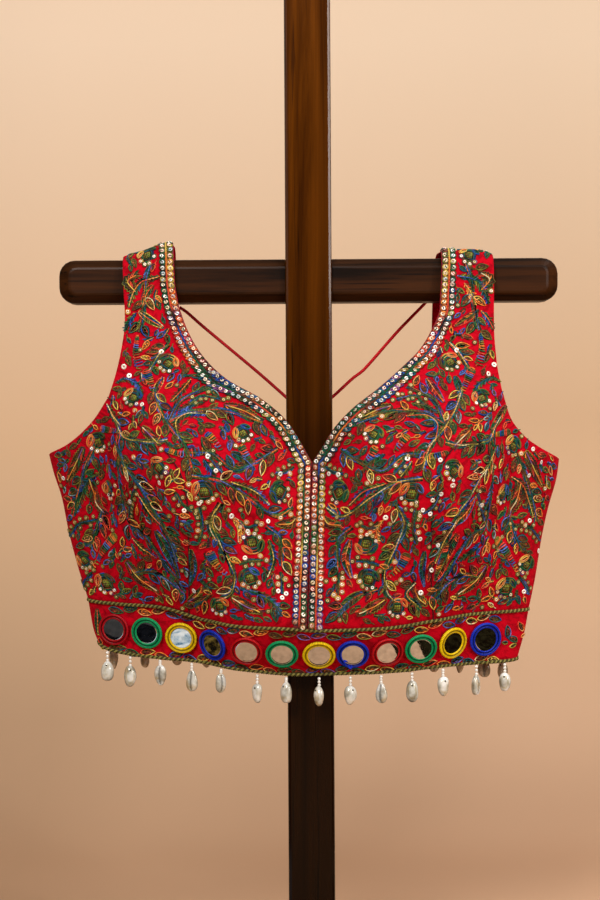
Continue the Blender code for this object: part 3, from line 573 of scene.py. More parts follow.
def tubes(name, runs, material, sides=5):
    """Round tubes: each run is (points, outward directions, radius, colours, closed), in mm."""
    lengths = [len(run[0]) for run in runs]
    centre = np.concatenate([run[0] for run in runs])
    outward = np.concatenate([run[1] for run in runs])
    radius = np.concatenate([np.broadcast_to(run[2], len(run[0])) for run in runs])
    colour = np.concatenate([np.broadcast_to(run[3], (len(run[0]), 3)) for run in runs])
    starts = np.concatenate([[0], np.cumsum(lengths)[:-1]])
    number = np.arange(len(centre))
    before, after = number - 1, number + 1
    pairs, caps = [], []
    ring = np.arange(sides)
    along_mm = np.zeros(len(centre))
    for start, count, run in zip(starts, lengths, runs):
        end = start + count - 1
        closed = run[4]
        before[start] = end if closed else start
        after[end] = start if closed else end
        along_mm[start:end + 1] = run_of(centre[start:end + 1])
        rows = number[start:end + 1] if closed else number[start:end]
        pairs.append(np.stack([rows, after[rows]], axis=1))
        if not closed:
            caps += [start * sides + ring[::-1], end * sides + ring]
    tangent = centre[after] - centre[before]
    tangent /= np.maximum(np.linalg.norm(tangent, axis=1), 1e-9)[:, None]
    aside = np.cross(tangent, outward)
    aside /= np.maximum(np.linalg.norm(aside, axis=1), 1e-9)[:, None]
    offset = circle(aside, np.cross(aside, tangent), sides) * radius[:, None, None]
    points = (centre[:, None, :] + offset).reshape(-1, 3)
    pairs = np.concatenate(pairs)
    low, high = pairs[:, :1] * sides, pairs[:, 1:] * sides
    next_ring = (ring + 1) % sides
    faces = np.stack([low + ring, high + ring, high + next_ring, low + next_ring], axis=2).reshape(-1, 4)
    u_low, u_high = along_mm[pairs[:, 0]] / 10, along_mm[pairs[:, 1]] / 10
    u_high = np.where(u_high < u_low, u_low + 0.1, u_high)
    u = np.stack([u_low, u_high, u_high, u_low], axis=1)[:, None, :]
    v = np.stack([ring, ring, ring + 1, ring + 1], axis=1)[None] / sides
    uv = np.stack(np.broadcast_arrays(u, v), axis=3).reshape(-1, 2)
    blocks = [faces]
    if caps:
        blocks.append(np.array(caps))
        uv = np.concatenate([uv, np.zeros((len(caps) * sides, 2))])
    return new_mesh(name, points, blocks, material, np.repeat(colour, sides, axis=0), uv)


def on_front(places, lift):
    """Points in mm at a height of `lift` above the front's outer surface, and its outward directions."""
    point, _, _, outward = cloth_frame("front", places[:, 0], places[:, 1])
    return point + outward * (WALL / 2 + lift[:, None]), outward


THREAD_SIDES = 4
SEQUIN_CORNERS = 10
# rings of a sequin: (share of its radius, mm up)
SEQUIN_RINGS = ((1.0, 0.0), (0.97, 0.22), (0.62, 0.30), (0.26, 0.12), (0.26, -0.05))


class Sewing:
    """Threads, satin patches and sequins laid on the front, gathered before their meshes are made.

    Places are rows of (station, height). Radius and lift are in mm, and lift counts from the cloth's face.
    """

    def __init__(self):
        self.threads = []
        self.patches = []
        self.sequins = []

    def thread(self, places, colours, radius=0.55, lift=0.45, closed=False):
        places = np.asarray(places, dtype=float)
        count = len(places)
        self.threads.append((places, np.broadcast_to(radius, count), np.broadcast_to(lift, count),
                             np.broadcast_to(colours, (count, 3)), closed))

    def patch(self, grid, domes, colour):
        """A domed satin patch: grid of places (rows along, columns across) and its height in mm."""
        self.patches.append((np.asarray(grid, dtype=float), np.asarray(domes, dtype=float), colour))

    def sequin(self, place, radius, colour, lean):
        self.sequins.append((place, radius, colour, lean))

    def make_threads(self, name, material, first=0, last=None):
        threads = self.threads[first:last]
        every = np.concatenate([thread[0] for thread in threads])
        lift = np.concatenate([thread[2] for thread in threads])
        centre, outward = on_front(every, lift)
        runs, start = [], 0
        for places, radius, _, colours, closed in threads:
            end = start + len(places)
            runs.append((centre[start:end], outward[start:end], radius, colours, closed))
            start = end
        return tubes(name, runs, material, THREAD_SIDES)

    def make_patches(self, name, material):
        every = np.concatenate([grid.reshape(-1, 2) for grid, _, _ in self.patches])
        lift = np.concatenate([domes.ravel() for _, domes, _ in self.patches])
        points, _ = on_front(every, lift)
        quads, rims, uvs, colours, start = [], {}, [], [], 0
        for grid, _, colour in self.patches:
            rows, columns = grid.shape[:2]
            index = start + np.arange(rows * columns).reshape(rows, columns)
            quads.append(grid_faces(index))
            rim = rim_of(index)
            rims.setdefault(len(rim), []).append(rim[::-1])
            run = run_of(points[index[:, columns // 2]]) / 10
            width = np.linalg.norm(points[index[:, -1]] - points[index[:, 0]], axis=1)[:, None] / 10
            across = np.linspace(-0.5, 0.5, columns)[None, :] * width
            uvs.append(np.stack(np.broadcast_arrays(run[:, None], across), axis=2).reshape(-1, 2))
            colours.append(np.broadcast_to(colour, (rows * columns, 3)))
            start += rows * columns
        blocks = [np.concatenate(quads)] + [np.array(rows) for rows in rims.values()]
        return new_mesh(name, points, blocks, material, np.concatenate(colours), np.concatenate(uvs))

    def make_sequins(self, name, material):
        """Cupped discs with a hole, each leaning a little."""
        place, radius, colour, lean = (np.array(column) for column in zip(*self.sequins))
        point, across, _, outward = cloth_frame("front", place[:, 0], place[:, 1])
        side = unit(across)
        other = np.cross(outward, side)
        normal = unit(outward + side * lean[:, :1] + other * lean[:, 1:2])
        side = unit(np.cross(other, normal))
        middle = point + outward * (WALL / 2 + 0.75 + lean[:, 2:3])
        spoke = circle(side, np.cross(normal, side), SEQUIN_CORNERS) * radius[:, None, None]
        points = np.stack([middle[:, None] + spoke * share + normal[:, None] * rise
                           for share, rise in SEQUIN_RINGS], axis=1).reshape(-1, 3)
        count = len(SEQUIN_RINGS) * SEQUIN_CORNERS
        base = np.arange(len(place))[:, None, None] * count
        faces = (torus_faces(len(SEQUIN_RINGS), SEQUIN_CORNERS)[:, TURNED] + base).reshape(-1, 4)
        return new_mesh(name, points, [faces], material, np.repeat(colour, count, axis=0))


# ---- materials ----
def linear(red, green, blue):
    """A colour given in 0-255 screen values, as linear light."""
    share = np.array([red, green, blue]) / 255
    return tuple(np.where(share <= 0.04045, share / 12.92, ((share + 0.055) / 1.055) ** 2.4))


class Graph:
    """A material's nodes, made in a few short calls."""

    def __init__(self, name, **settings):
        self.material = bpy.data.materials.new(name)
        self.material.use_nodes = True
        self.nodes = self.material.node_tree.nodes
        self.shader = self.nodes["Principled BSDF"]
        for key, value in settings.items():
            self.set(self.shader, key.replace("_", " "), value)

    def set(self, node, socket, value):
        if hasattr(value, "is_output"):
            self.material.node_tree.links.new(value, node.inputs[socket])
        elif isinstance(value, tuple) and len(value) == 3 and node.inputs[socket].type == "RGBA":
            node.inputs[socket].default_value = (*value, 1)
        else:
            node.inputs[socket].default_value = value

    def add(self, kind, output=0, settings=None, **inputs):
        node = self.nodes.new("ShaderNode" + kind)
        for key, value in (settings or {}).items():
            setattr(node, key, value)
        for key, value in inputs.items():
            key = int(key[1:]) if key[0] == "i" and key[1:].isdigit() else key.replace("_", " ")
            self.set(node, key, value)
        return node.outputs[output]

    def tint(self):
        """The mesh's own colours."""
        return self.add("Attribute", settings={"attribute_name": "tint"})

    def run(self):
        """The mesh's lengths along and across its threads, in cm."""
        return self.add("UVMap", settings={"uv_map": "run"})

    def place(self):
        """Places in metres in the piece's own frame."""
        return self.add("TexCoord", 3)

    def axes(self, vector):
        """The three parts of a vector."""
        node = self.nodes.new("ShaderNodeSeparateXYZ")
        self.set(node, 0, vector)
        return node.outputs

    def maths(self, operation, first, second=0.0):
        return self.add("Math", settings={"operation": operation}, i0=first, i1=second)

    def plus(self, first, second):
        return self.maths("ADD", first, second)

    def times(self, first, second):
        return self.maths("MULTIPLY", first, second)

    def toned(self, colour, by):
        """A colour times another."""
        return self.mix(1.0, colour, by, "MULTIPLY")

    def scaled(self, vector, scale):
        return self.add("Mapping", Vector=vector, Scale=scale)

    def noise(self, vector, scale, detail, **inputs):
        return self.add("TexNoise", Vector=vector, Scale=scale, Detail=detail, **inputs)

    def ramp(self, value, *stops):
        node = self.nodes.new("ShaderNodeValToRGB")
        elements = node.color_ramp.elements
        while len(elements) < len(stops):
            elements.new(0.5)
        for element, (place, colour) in zip(elements, stops):
            element.position = place
            element.color = (*colour, 1)
        self.set(node, 0, value)
        return node.outputs[0]

    def mix(self, share, first, second, blend="MIX"):
        node = self.nodes.new("ShaderNodeMix")
        node.data_type = "RGBA"
        node.blend_type = blend
        for key, value in ((0, share), (6, first), (7, second)):
            self.set(node, key, value)
        return node.outputs[2]

    def bump(self, height, distance, strength=1.0, normal=None):
        inputs = {"Height": height, "Distance": distance, "Strength": strength}
        if normal is not None:
            inputs["Normal"] = normal
        return self.add("Bump", **inputs)

    def finish(self, **inputs):
        for key, value in inputs.items():
            self.set(self.shader, key.replace("_", " "), value)
        return self.material


def grey(level):
    """A grey of this linear light."""
    return (level, level, level)


def cloth_material():
    """Red silk-cotton: slubby plain weave, soft sheen, small puckers, and mottled patches of painted shade."""
    graph = Graph("red cloth", Roughness=0.8, Sheen_Weight=0.03, Sheen_Roughness=0.5, Specular_IOR_Level=0.06)
    graph.set(graph.shader, "Sheen Tint", (1.0, 0.2, 0.25))
    uv = graph.run()
    warp = graph.noise(graph.scaled(uv, (26, 1.4, 1)), 1.0, 3)
    weft = graph.noise(graph.scaled(uv, (1.4, 30, 1)), 1.0, 3)
    threads = graph.plus(*(graph.add("TexWave", 1, settings={"bands_direction": way}, Vector=uv, Scale=9.0,
                                     Distortion=0.4) for way in "XY"))
    slub = graph.plus(warp, weft)
    relief = graph.plus(graph.times(threads, 0.35), slub)
    coarse = graph.bump(graph.noise(uv, 1.1, 3), 0.0022, 0.5)
    tone = graph.mix(graph.times(slub, 0.5), linear(166, 0, 20), linear(214, 2, 32))
    # painted shade: mottled patches that darken the red to about half
    shade_patches = graph.noise(uv, 1.7, 3, Distortion=0.6)
    tone = graph.toned(tone, graph.ramp(shade_patches, (0.34, grey(0.55)), (0.5, grey(0.95)), (0.66, grey(1.08))))
    return graph.finish(Base_Color=tone, Normal=graph.bump(relief, 0.00012, 0.7, coarse))


def thread_material(name, roughness=0.5, plies=2.0, pitch=1.3, groove_shade=0.4):
    """Shiny twisted yarn that takes its colour from the mesh, with painted shade in the grooves of its twist."""
    graph = Graph(name, Roughness=roughness, Sheen_Weight=0.05, Sheen_Roughness=0.4, Specular_IOR_Level=0.3)
    uv = graph.run()
    length, girth, _ = graph.axes(uv)
    turns = graph.plus(graph.times(length, 10 / pitch), graph.times(girth, plies))
    twist = graph.maths("SINE", graph.times(turns, math.tau))
    # painted shade: the colour darkens in the grooves between the plies
    shade = graph.ramp(graph.plus(graph.times(twist, 0.5), 0.5), (0.0, grey(groove_shade)), (0.4, grey(1.0)))
    fibre = graph.noise(graph.scaled(uv, (40, 8, 1)), 1.0, 2)
    tone = graph.toned(graph.tint(), shade)
    dull = graph.ramp(fibre, (0.3, grey(0.0)), (0.7, grey(0.4)))
    tone = graph.mix(dull, tone, graph.toned(tone, grey(0.5)))
    return graph.finish(Base_Color=tone, Normal=graph.bump(twist, 0.00018, 0.8))


def satin_material():
    """Rows of stitches side by side, coloured by the mesh, with painted shade between the rows and painted highlight
    on their ridges.
    """
    graph = Graph("filling stitch", Roughness=0.55, Sheen_Weight=0.05, Specular_IOR_Level=0.3)
    uv = graph.run()
    length, width, _ = graph.axes(uv)
    rows = graph.maths("SINE", graph.times(width, math.tau * 6))
    links = graph.maths("SINE", graph.times(length, math.tau * 4))
    relief = graph.plus(rows, graph.times(links, 0.8))
    # painted shade in the hollows between rows and links, painted highlight on their ridges
    shade = graph.ramp(graph.plus(graph.times(relief, 0.28), 0.5), (0.05, grey(0.25)), (0.55, grey(1.0)),
                       (0.95, grey(1.6)))
    patchy = graph.noise(graph.scaled(uv, (7.5, 10, 1)), 1.0, 2)
    flecks = graph.ramp(patchy, (0.38, (0.25, 1.1, 0.6)), (0.5, grey(1.0)), (0.6, (2.3, 0.7, 0.5)))
    tone = graph.toned(graph.tint(), shade)
    tone = graph.mix(0.8, tone, graph.toned(tone, flecks))
    return graph.finish(Base_Color=tone, Normal=graph.bump(relief, 0.0003, 0.8))


def sequin_material():
    """Pearly plastic that catches the light."""
    graph = Graph("sequin", Roughness=0.25, Metallic=0.15, Coat_Weight=0.6, Coat_Roughness=0.08,
                  Specular_IOR_Level=0.5)
    tint = graph.tint()
    film = graph.ramp(graph.noise(graph.place(), 330, 1), (0.35, linear(255, 214, 190)),
                      (0.5, linear(250, 250, 240)), (0.65, linear(215, 235, 255)))
    return graph.finish(Base_Color=graph.mix(0.5, tint, graph.toned(tint, film)))


def cowrie_material():
    """Glossy cream shell with soft clouds; the mesh's tint gives its gold ring, and painted shade in the slit, between
    the teeth and at the margins.
    """
    graph = Graph("cowrie shell", Roughness=0.2, Coat_Weight=0.9, Coat_Roughness=0.05)
    place = graph.place()
    cloud = graph.noise(place, 95, 3)
    tone = graph.ramp(cloud, (0.32, linear(150, 146, 132)), (0.46, linear(206, 206, 196)),
                      (0.62, linear(244, 244, 240)))
    warm = graph.ramp(graph.noise(place, 110, 3), (0.54, grey(0)), (0.68, grey(0.6)))
    tone = graph.toned(graph.mix(warm, tone, linear(196, 168, 112)), graph.tint())
    return graph.finish(Base_Color=tone, Normal=graph.bump(cloud, 0.0003, 0.25))


def bead_material():
    """Small white glass beads."""
    graph = Graph("white bead", Roughness=0.2, Coat_Weight=0.4)
    cloud = graph.noise(graph.place(), 300, 1)
    tone = graph.ramp(cloud, (0.3, linear(225, 222, 214)), (0.7, linear(252, 250, 245)))
    return graph.finish(Base_Color=tone)


def glass_material():
    """Hand-cut looking glass: silvered, with faint waves and specks."""
    graph = Graph("looking glass", Metallic=1.0)
    place = graph.place()
    dull = graph.ramp(graph.noise(place, 900, 1), (0.62, grey(0.03)), (0.7, grey(0.08)))
    tone = graph.ramp(graph.noise(place, 210, 3), (0.3, linear(196, 196, 192)), (0.7, linear(226, 226, 224)))
    waves = graph.bump(graph.noise(place, 130, 2), 0.0003, 0.08)
    return graph.finish(Base_Color=tone, Roughness=dull, Normal=waves)


def wood_material(name, stretch, lighter, darker, rough=0.16, coat=0.7, foot=1.0, polish=0.09):
    """Dark varnished timber with its grain along one axis, with painted shade toward its foot: `foot` times as light
    there.
    """
    graph = Graph(name, Coat_Weight=coat, Coat_Roughness=polish, Coat_IOR=1.5, Specular_IOR_Level=0.08)
    place = graph.place()
    long = graph.scaled(place, stretch)
    grain = graph.noise(long, 60, 6, Roughness=0.65, Distortion=0.6)
    pores = graph.noise(graph.scaled(place, tuple(value * 3.2 for value in stretch)), 90, 3)
    bands = graph.noise(long, 14, 2)
    tone = graph.mix(graph.ramp(grain, (0.36, grey(0)), (0.66, grey(1))), darker, lighter)
    tone = graph.mix(graph.ramp(bands, (0.35, grey(0)), (0.62, grey(0.55))), tone, darker)
    deepest = tuple(0.3 * value for value in darker)
    tone = graph.mix(graph.ramp(pores, (0.60, grey(0)), (0.70, grey(0.75))), tone, deepest)
    # painted shade: the colour darkens toward the foot, where less light falls
    height = graph.axes(place)[2]
    tone = graph.toned(tone, graph.ramp(height, (0.28, grey(foot)), (0.66, grey(1.0))))
    gloss = graph.ramp(grain, (0.3, grey(rough)), (0.7, grey(rough + 0.12)))
    relief = graph.plus(grain, graph.times(pores, 0.5))
    return graph.finish(Base_Color=tone, Roughness=gloss, Normal=graph.bump(relief, 0.0004, 0.25))


def backdrop_material():
    """Matt peach paper with painted light and shade: a touch deeper toward the floor, darker to the left and lighter
    to the right near the floor, and the other way round higher up.
    """
    graph = Graph("backdrop paper", Roughness=0.95, Specular_IOR_Level=0.1)
    place = graph.place()
    aside, _, rise = graph.axes(place)
    # painted shade: the paper darkens toward the floor
    tone = graph.ramp(rise, (0.0, linear(196, 162, 132)), (0.45, linear(216, 184, 149)),
                      (1.0, linear(229, 208, 184)))
    tone = graph.mix(graph.times(graph.noise(place, 2.0, 2), 0.08), tone, linear(222, 182, 146))
    # painted light and shade from side to side, which turns over from the floor up
    aside = graph.add("MapRange", Value=aside, **{"From Min": -0.32, "From Max": 0.3})
    low = graph.mix(aside, (0.82, 0.8, 0.78), (1.17, 1.16, 1.2))
    high = graph.mix(aside, (1.08, 1.06, 1.05), (0.94, 0.93, 0.92))
    light = graph.mix(graph.ramp(rise, (0.12, grey(0)), (0.5, grey(1))), low, high)
    return graph.finish(Base_Color=graph.toned(tone, light))


def ground_material():
    """The trim's ground: dark red cloth crossed by couched threads."""
    graph = Graph("trim ground", Roughness=0.7, Sheen_Weight=0.2)
    cross = graph.noise(graph.scaled(graph.run(), (3, 22, 1)), 1.0, 2)
    tone = graph.ramp(cross, (0.35, linear(70, 0, 14)), (0.5, linear(130, 0, 22)), (0.62, linear(36, 20, 20)))
    return graph.finish(Base_Color=tone, Normal=graph.bump(cross, 0.0003, 0.6))


def ring_material():
    """Glossy rayon yarn wound side by side; its wraps and their painted shade are in the mesh, its fibres here."""
    graph = Graph("ring yarn", Roughness=0.36, Specular_IOR_Level=0.22)
    tint = graph.tint()
    fibre = graph.noise(graph.place(), 1500, 2)
    dull = graph.ramp(fibre, (0.35, grey(0.5)), (0.7, grey(0.0)))
    tone = graph.mix(dull, tint, graph.toned(tint, grey(0.5)))
    return graph.finish(Base_Color=tone, Normal=graph.bump(fibre, 0.0001, 0.4))


CLOTH = cloth_material()
THREAD = thread_material("embroidery yarn", groove_shade=0.6)
ROPE = thread_material("olive rope yarn", roughness=0.65, plies=3.0, pitch=1.6, groove_shade=0.5)
DORI = thread_material("dori yarn", roughness=0.6, plies=2.0, pitch=1.8, groove_shade=0.5)
SATIN = satin_material()
THREAD_GROUND = ground_material()
RING_YARN = ring_material()
SEQUIN = sequin_material()
COWRIE = cowrie_material()
BEAD = bead_material()
GLASS = glass_material()
# the post's foot takes painted shade, 0.16 times as light as its upper part
POST_WOOD = wood_material("post wood", (1, 1, 0.03), linear(112, 58, 0), linear(44, 17, 0), coat=0.14,
                          foot=0.16)
BAR_WOOD = wood_material("bar wood", (0.03, 1, 1), linear(84, 44, 12), linear(18, 7, 2), rough=0.4,
                         coat=0.12, polish=0.28)
BACKDROP = backdrop_material()


# ---- stand ----
for node, wood in (("stand_post", POST_WOOD), ("stand_crossbar", BAR_WOOD), ("stand_base", BAR_WOOD)):
    slots = frame["nodes"][node].data.materials
    for number in range(len(slots)):
        slots[number] = wood


# ---- cloth panels ----
def shell(name, face, grids, node, low=-1.0, high=1.0, material=CLOTH):
    """A closed cloth shell over one or more grids of places, its skins drawn together at its edges."""
    points, quads, uvs, start = [], [], [], 0
    for grid in grids:
        rows, columns = grid.shape[:2]
        flat = grid.reshape(-1, 2)
        middle, _, _, outward = cloth_frame(face, flat[:, 0], flat[:, 1])
        shape = middle.reshape(rows, columns, 3)
        u = np.stack([run_of(row) for row in shape])
        v = np.stack([run_of(column) for column in shape.swapaxes(0, 1)], axis=1)
        edge_mm = np.minimum(np.minimum(u, u[:, -1:] - u), np.minimum(v, v[-1:] - v)).ravel()
        half = (high - low) / 2 * (1 - 0.75 * np.exp(-(edge_mm / 0.9) ** 2))
        middle = middle + outward * (low + high) / 2
        count = rows * columns
        index = start + np.arange(count).reshape(rows, columns)
        points += [middle + outward * half[:, None], middle - outward * half[:, None]]
        square = grid_faces(index)[:, TURNED]
        rim = rim_of(index)
        turned = np.roll(rim, -1)
        walls = np.stack([rim, turned, turned + count, rim + count], axis=1)
        if face == "back":
            square, walls = square[:, ::-1], walls[:, ::-1]
        quads += [square, square[:, ::-1] + count, walls]
        uvs += [np.stack([u.ravel() / 10, v.ravel() / 10], axis=1)] * 2
        start += 2 * count
    piece = new_mesh(name, np.concatenate(points), [np.concatenate(quads)], material,
                     uvs=np.concatenate(uvs))
    piece.data.set_sharp_from_angle(angle=math.radians(60))
    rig.ride(piece, "root")
    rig.replaces(piece, node)
    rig.slot(piece, "cloth")
    return piece


def edge(*stretches, shift=0.0):
    """(x, height) places down an edge. A stretch is a table, its number of steps, first and last row."""
    runs = [along(*stretch) for stretch in stretches]
    places = np.vstack([runs[0]] + [run[1:] for run in runs[1:]])
    return places + (shift, 0)


def side_edge(side, table, *above):
    """(x, height) places down the low armhole and the side seam to a seam, below other stretches."""
    armhole = edge(*above, (ARMHOLE_LOW[side], CUP_STEPS))
    end = table[0 if side == "left" else -1][1]
    heights = np.linspace(ARMHOLE_LOW[side][-1][1], end, BODY_STEPS + 1)[1:]
    return np.vstack([armhole, np.stack([SIGN[side] * half_width(side, heights), heights], axis=1)])


def ladder(inner, outer, strip=0.0):
    """Grid of (station, height) between two edges, with two more columns for a strip along the inner edge."""
    heading = unit(np.gradient(inner, axis=0))
    across = unit(outer - inner)
    width = strip / np.abs(heading[:, 0] * across[:, 1] - heading[:, 1] * across[:, 0])[:, None]
    start, end = to_stations(inner + across * width), to_stations(outer)
    grid = [start + (end - start) * column for column in PANEL_COLUMNS]
    if strip:
        grid = [to_stations(inner), to_stations(inner + across * width / 2)] + grid
    return np.stack(grid, axis=1)


def settle(places, table):
    """Bring a grid's last row to a seam."""
    target = seam_height(table, places[-1, :, 0]) + 0.2
    change = target - places[-1, :, 1]
    for number in range(SETTLED_ROWS):
        places[-1 - number, :, 1] += change * (1 - number / SETTLED_ROWS)
    return places


def front_panels(side):
    """Centre and side front panels; gives back the places of the neck's trim."""
    outward = SIGN[side] * SEAM
    inner = edge((NECK_FRONT[side], STRAP_STEPS, 0, 8), (NECK_FRONT[side], CUP_STEPS, 8),
                 (CENTRE_FRONT, BODY_STEPS), shift=outward)
    princess = (PRINCESS_TOP[side], CUP_STEPS), (PRINCESS_LOW[side], BODY_STEPS)
    outer = edge((ARMHOLE_TOP[side], STRAP_STEPS), *princess, shift=-outward)
    centre = settle(ladder(inner, outer, TRIM_WIDTH), JOIN_FRONT)
    shell("cloth_front_centre_" + side, "front", [centre], "front_centre_" + side)
    inner, outer = edge(*princess, shift=outward), side_edge(side, JOIN_FRONT)
    for places in (inner, outer):
        places[0] = (places[0] + places[1]) / 2
    flank = settle(ladder(inner, outer), JOIN_FRONT)
    shell("cloth_front_side_" + side, "front", [flank], "front_side_" + side)
    return centre[:, :3]


def back_panel():
    """The back in one piece: a half each side, joined below the deep neck."""
    halves = []
    for side in SIDES:
        inner = edge((NECK_BACK[side], STRAP_STEPS, 0, 4), (NECK_BACK[side], CUP_STEPS, 4, 6),
                     (NECK_BACK[side], BODY_STEPS // 2, 6), (CENTRE_BACK, BODY_STEPS - BODY_STEPS // 2))
        outer = side_edge(side, JOIN_BACK, (ARMHOLE_TOP[side], STRAP_STEPS))
        halves.append(settle(ladder(inner, outer), JOIN_BACK))
    left, right = halves
    shell("cloth_back", "back", [left, right[:, ::-1]], "back")


def share_to_station(share):
    """Stations that lie closer together toward the side seams, at even steps of a share from -1 to 1."""
    return np.sin(share * math.pi / 2) * 0.35 + share * 0.65


def band(face, join, hem):
    """The front or back of the waist band."""
    stations = share_to_station(np.linspace(-1, 1, 181))
    shares = np.linspace(0, 1, 17)[:, None]
    heights = (seam_height(join, stations) - 0.2) * (1 - shares) + seam_height(hem, stations) * shares
    places = np.stack([np.broadcast_to(stations, heights.shape), heights], axis=2)
    shell("cloth_band_" + face, face, [places], "band_" + face)


PANEL_COLUMNS = np.linspace(0, 1, 33)
TRIMS = {side: front_panels(side) for side in SIDES}
back_panel()
band("front", JOIN_FRONT, HEM_FRONT)
band("back", JOIN_BACK, HEM_BACK)


# ---- thread colours ----
SHADES = {
    "forest": linear(10, 54, 32), "green": linear(14, 104, 58), "teal": linear(8, 92, 108),
    "blue": linear(30, 80, 172), "navy": linear(20, 30, 96), "sky": linear(92, 122, 204),
    "lilac": linear(136, 92, 160), "coral": linear(240, 80, 46), "orange": linear(252, 140, 50),
    "peach": linear(250, 176, 104), "yellow": linear(246, 208, 92), "lime": linear(138, 134, 44),
    "olive": linear(104, 86, 30), "brown": linear(118, 58, 24), "plum": linear(112, 26, 56),
    "mist": linear(156, 186, 194), "cream": linear(250, 232, 178), "night": linear(14, 26, 34),
}
# yarns, each dyed in runs of these shades
COOL = ("green", "teal", "blue", "forest", "green", "olive", "brown", "teal", "sky", "blue", "green", "olive",
        "forest", "brown", "olive", "teal", "green", "lime")
WARM = ("orange", "peach", "yellow", "orange", "coral", "orange", "peach", "coral")
PALE = ("yellow", "lime", "cream", "peach", "yellow", "lime")
LOOPED = ("green", "olive", "coral", "teal", "blue", "lime", "orange", "green", "coral", "sky")
EARTHY = ("olive", "brown", "coral", "plum", "brown", "lime", "coral", "green", "brown", "orange")
# yarns of the leaves' outlines, and the share of leaves in each
LEAFY = (("green", "lime", "teal", "green", "teal"), ("blue", "sky", "navy", "teal", "sky"),
         ("olive", "lime", "green", "brown", "olive"), ("coral", "plum", "coral", "brown", "coral"),
         ("orange", "peach", "coral", "yellow", "orange"), ("yellow", "cream", "peach", "lime", "yellow"),
         ("lilac", "sky", "plum", "blue", "lilac"), ("teal", "mist", "green", "teal", "blue"))
LEAFY_SHARE = (0.23, 0.13, 0.24, 0.08, 0.13, 0.07, 0.03, 0.09)
# the trim's colours, from its strap down
RUN_ON = ("green", "forest", "lime", "yellow", "orange", "coral", "coral", "night", "blue", "teal", "green",
          "forest", "green", "brown", "coral", "orange", "green", "blue", "night")
# grounds of the leaves
EARTHS = [linear(92, 58, 20), linear(74, 66, 20), linear(106, 46, 22), linear(66, 60, 20), linear(52, 54, 24),
          linear(118, 44, 22), linear(98, 88, 32)]
# a dark ground of painted shadow, laid under stems and loops
SHADE_UNDERLAY = linear(24, 22, 12)
dice = np.random.default_rng(11)


def variegated(names, start, run, period):
    """Colours of a yarn dyed in runs of shades: `run` is mm along it, `period` the mm of one shade."""
    shades = np.array([SHADES[name] for name in names])
    at = start + np.asarray(run, dtype=float) / period
    low = np.floor(at).astype(int)
    share = np.clip((at - low - 0.3) / 0.4, 0, 1)[:, None]
    share = share * share * (3 - 2 * share)
    return shades[low % len(shades)] * (1 - share) + shades[(low + 1) % len(shades)] * share


def yarn(points, names=COOL, period=9.0):
    """Variegated colours for points in mm, from a random place in the dye's run."""
    return variegated(names, dice.uniform(0, len(names)), run_of(points), period)


def leaf_yarn():
    """The shades of one leaf's outline."""
    return LEAFY[dice.choice(len(LEAFY), p=LEAFY_SHARE)]


# ---- places for embroidery ----
STATION_STEPS, HEIGHT_STEPS = 80, 94
LOWEST = 262
grid_s, grid_h = np.meshgrid(np.linspace(-1, 1, STATION_STEPS + 1),
                             np.linspace(LOWEST, SHOULDER, HEIGHT_STEPS + 1))
_, grid_across, grid_up, _ = cloth_frame("front", grid_s.ravel(), grid_h.ravel())
METRIC = np.stack([np.linalg.norm(way, axis=1).reshape(grid_s.shape)
                   for way in (grid_across, grid_up)], axis=2)


def metric_at(places):
    """mm of cloth per unit of station, and per mm of height, at each place."""
    column = np.clip((places[:, 0] + 1) / 2 * STATION_STEPS, 0, STATION_STEPS - 0.001)
    row = np.clip((places[:, 1] - LOWEST) / (SHOULDER - LOWEST) * HEIGHT_STEPS, 0, HEIGHT_STEPS - 0.001)
    i, j = row.astype(int), column.astype(int)
    a, b = (row - i)[:, None], (column - j)[:, None]
    return ((METRIC[i, j] * (1 - b) + METRIC[i, j + 1] * b) * (1 - a)
            + (METRIC[i + 1, j] * (1 - b) + METRIC[i + 1, j + 1] * b) * a).T


def turned_by(across, rise, heading):
    """mm across and mm up, turned by a heading."""
    c, s = np.cos(heading), np.sin(heading)
    return across * c - rise * s, across * s + rise * c


class Spot:
    """A place on the front with a heading; turns local mm into places."""

    def __init__(self, x, height, heading):
        place = to_stations([(x, height)])
        self.station, self.height = place[0]
        self.heading = heading
        self.wide, self.tall = metric_at(place)[:, 0]

    def places(self, points):
        points = np.asarray(points, dtype=float)
        across, rise = turned_by(points[..., 0], points[..., 1], self.heading)
        station = np.clip(self.station + across / self.wide, -0.99, 0.99)
        return np.stack([station, self.height + rise / self.tall], axis=-1)


def spot_at(place, heading):
    """A Spot at a place of (station, height)."""
    return Spot(flat_x(*place), place[1], heading)


CELL = 1.25
COLUMNS, ROWS = 376, 304
ROOM_LEFT = -235


# mm kept free beside the neck's trim, inside the outer edges and above the band
BESIDE_TRIM, INSIDE_EDGE, ABOVE_BAND = 2.4, 2.6, 4.5


def line_and_margin(points, heights, margin):
    """x of an edge at each height, and how far across a margin along it reaches there."""
    points = np.array(points, dtype=float)
    x = np.interp(heights, points[:, 1], points[:, 0])
    return x[:, None], margin * np.sqrt(1 + np.gradient(x, heights)[:, None] ** 2)


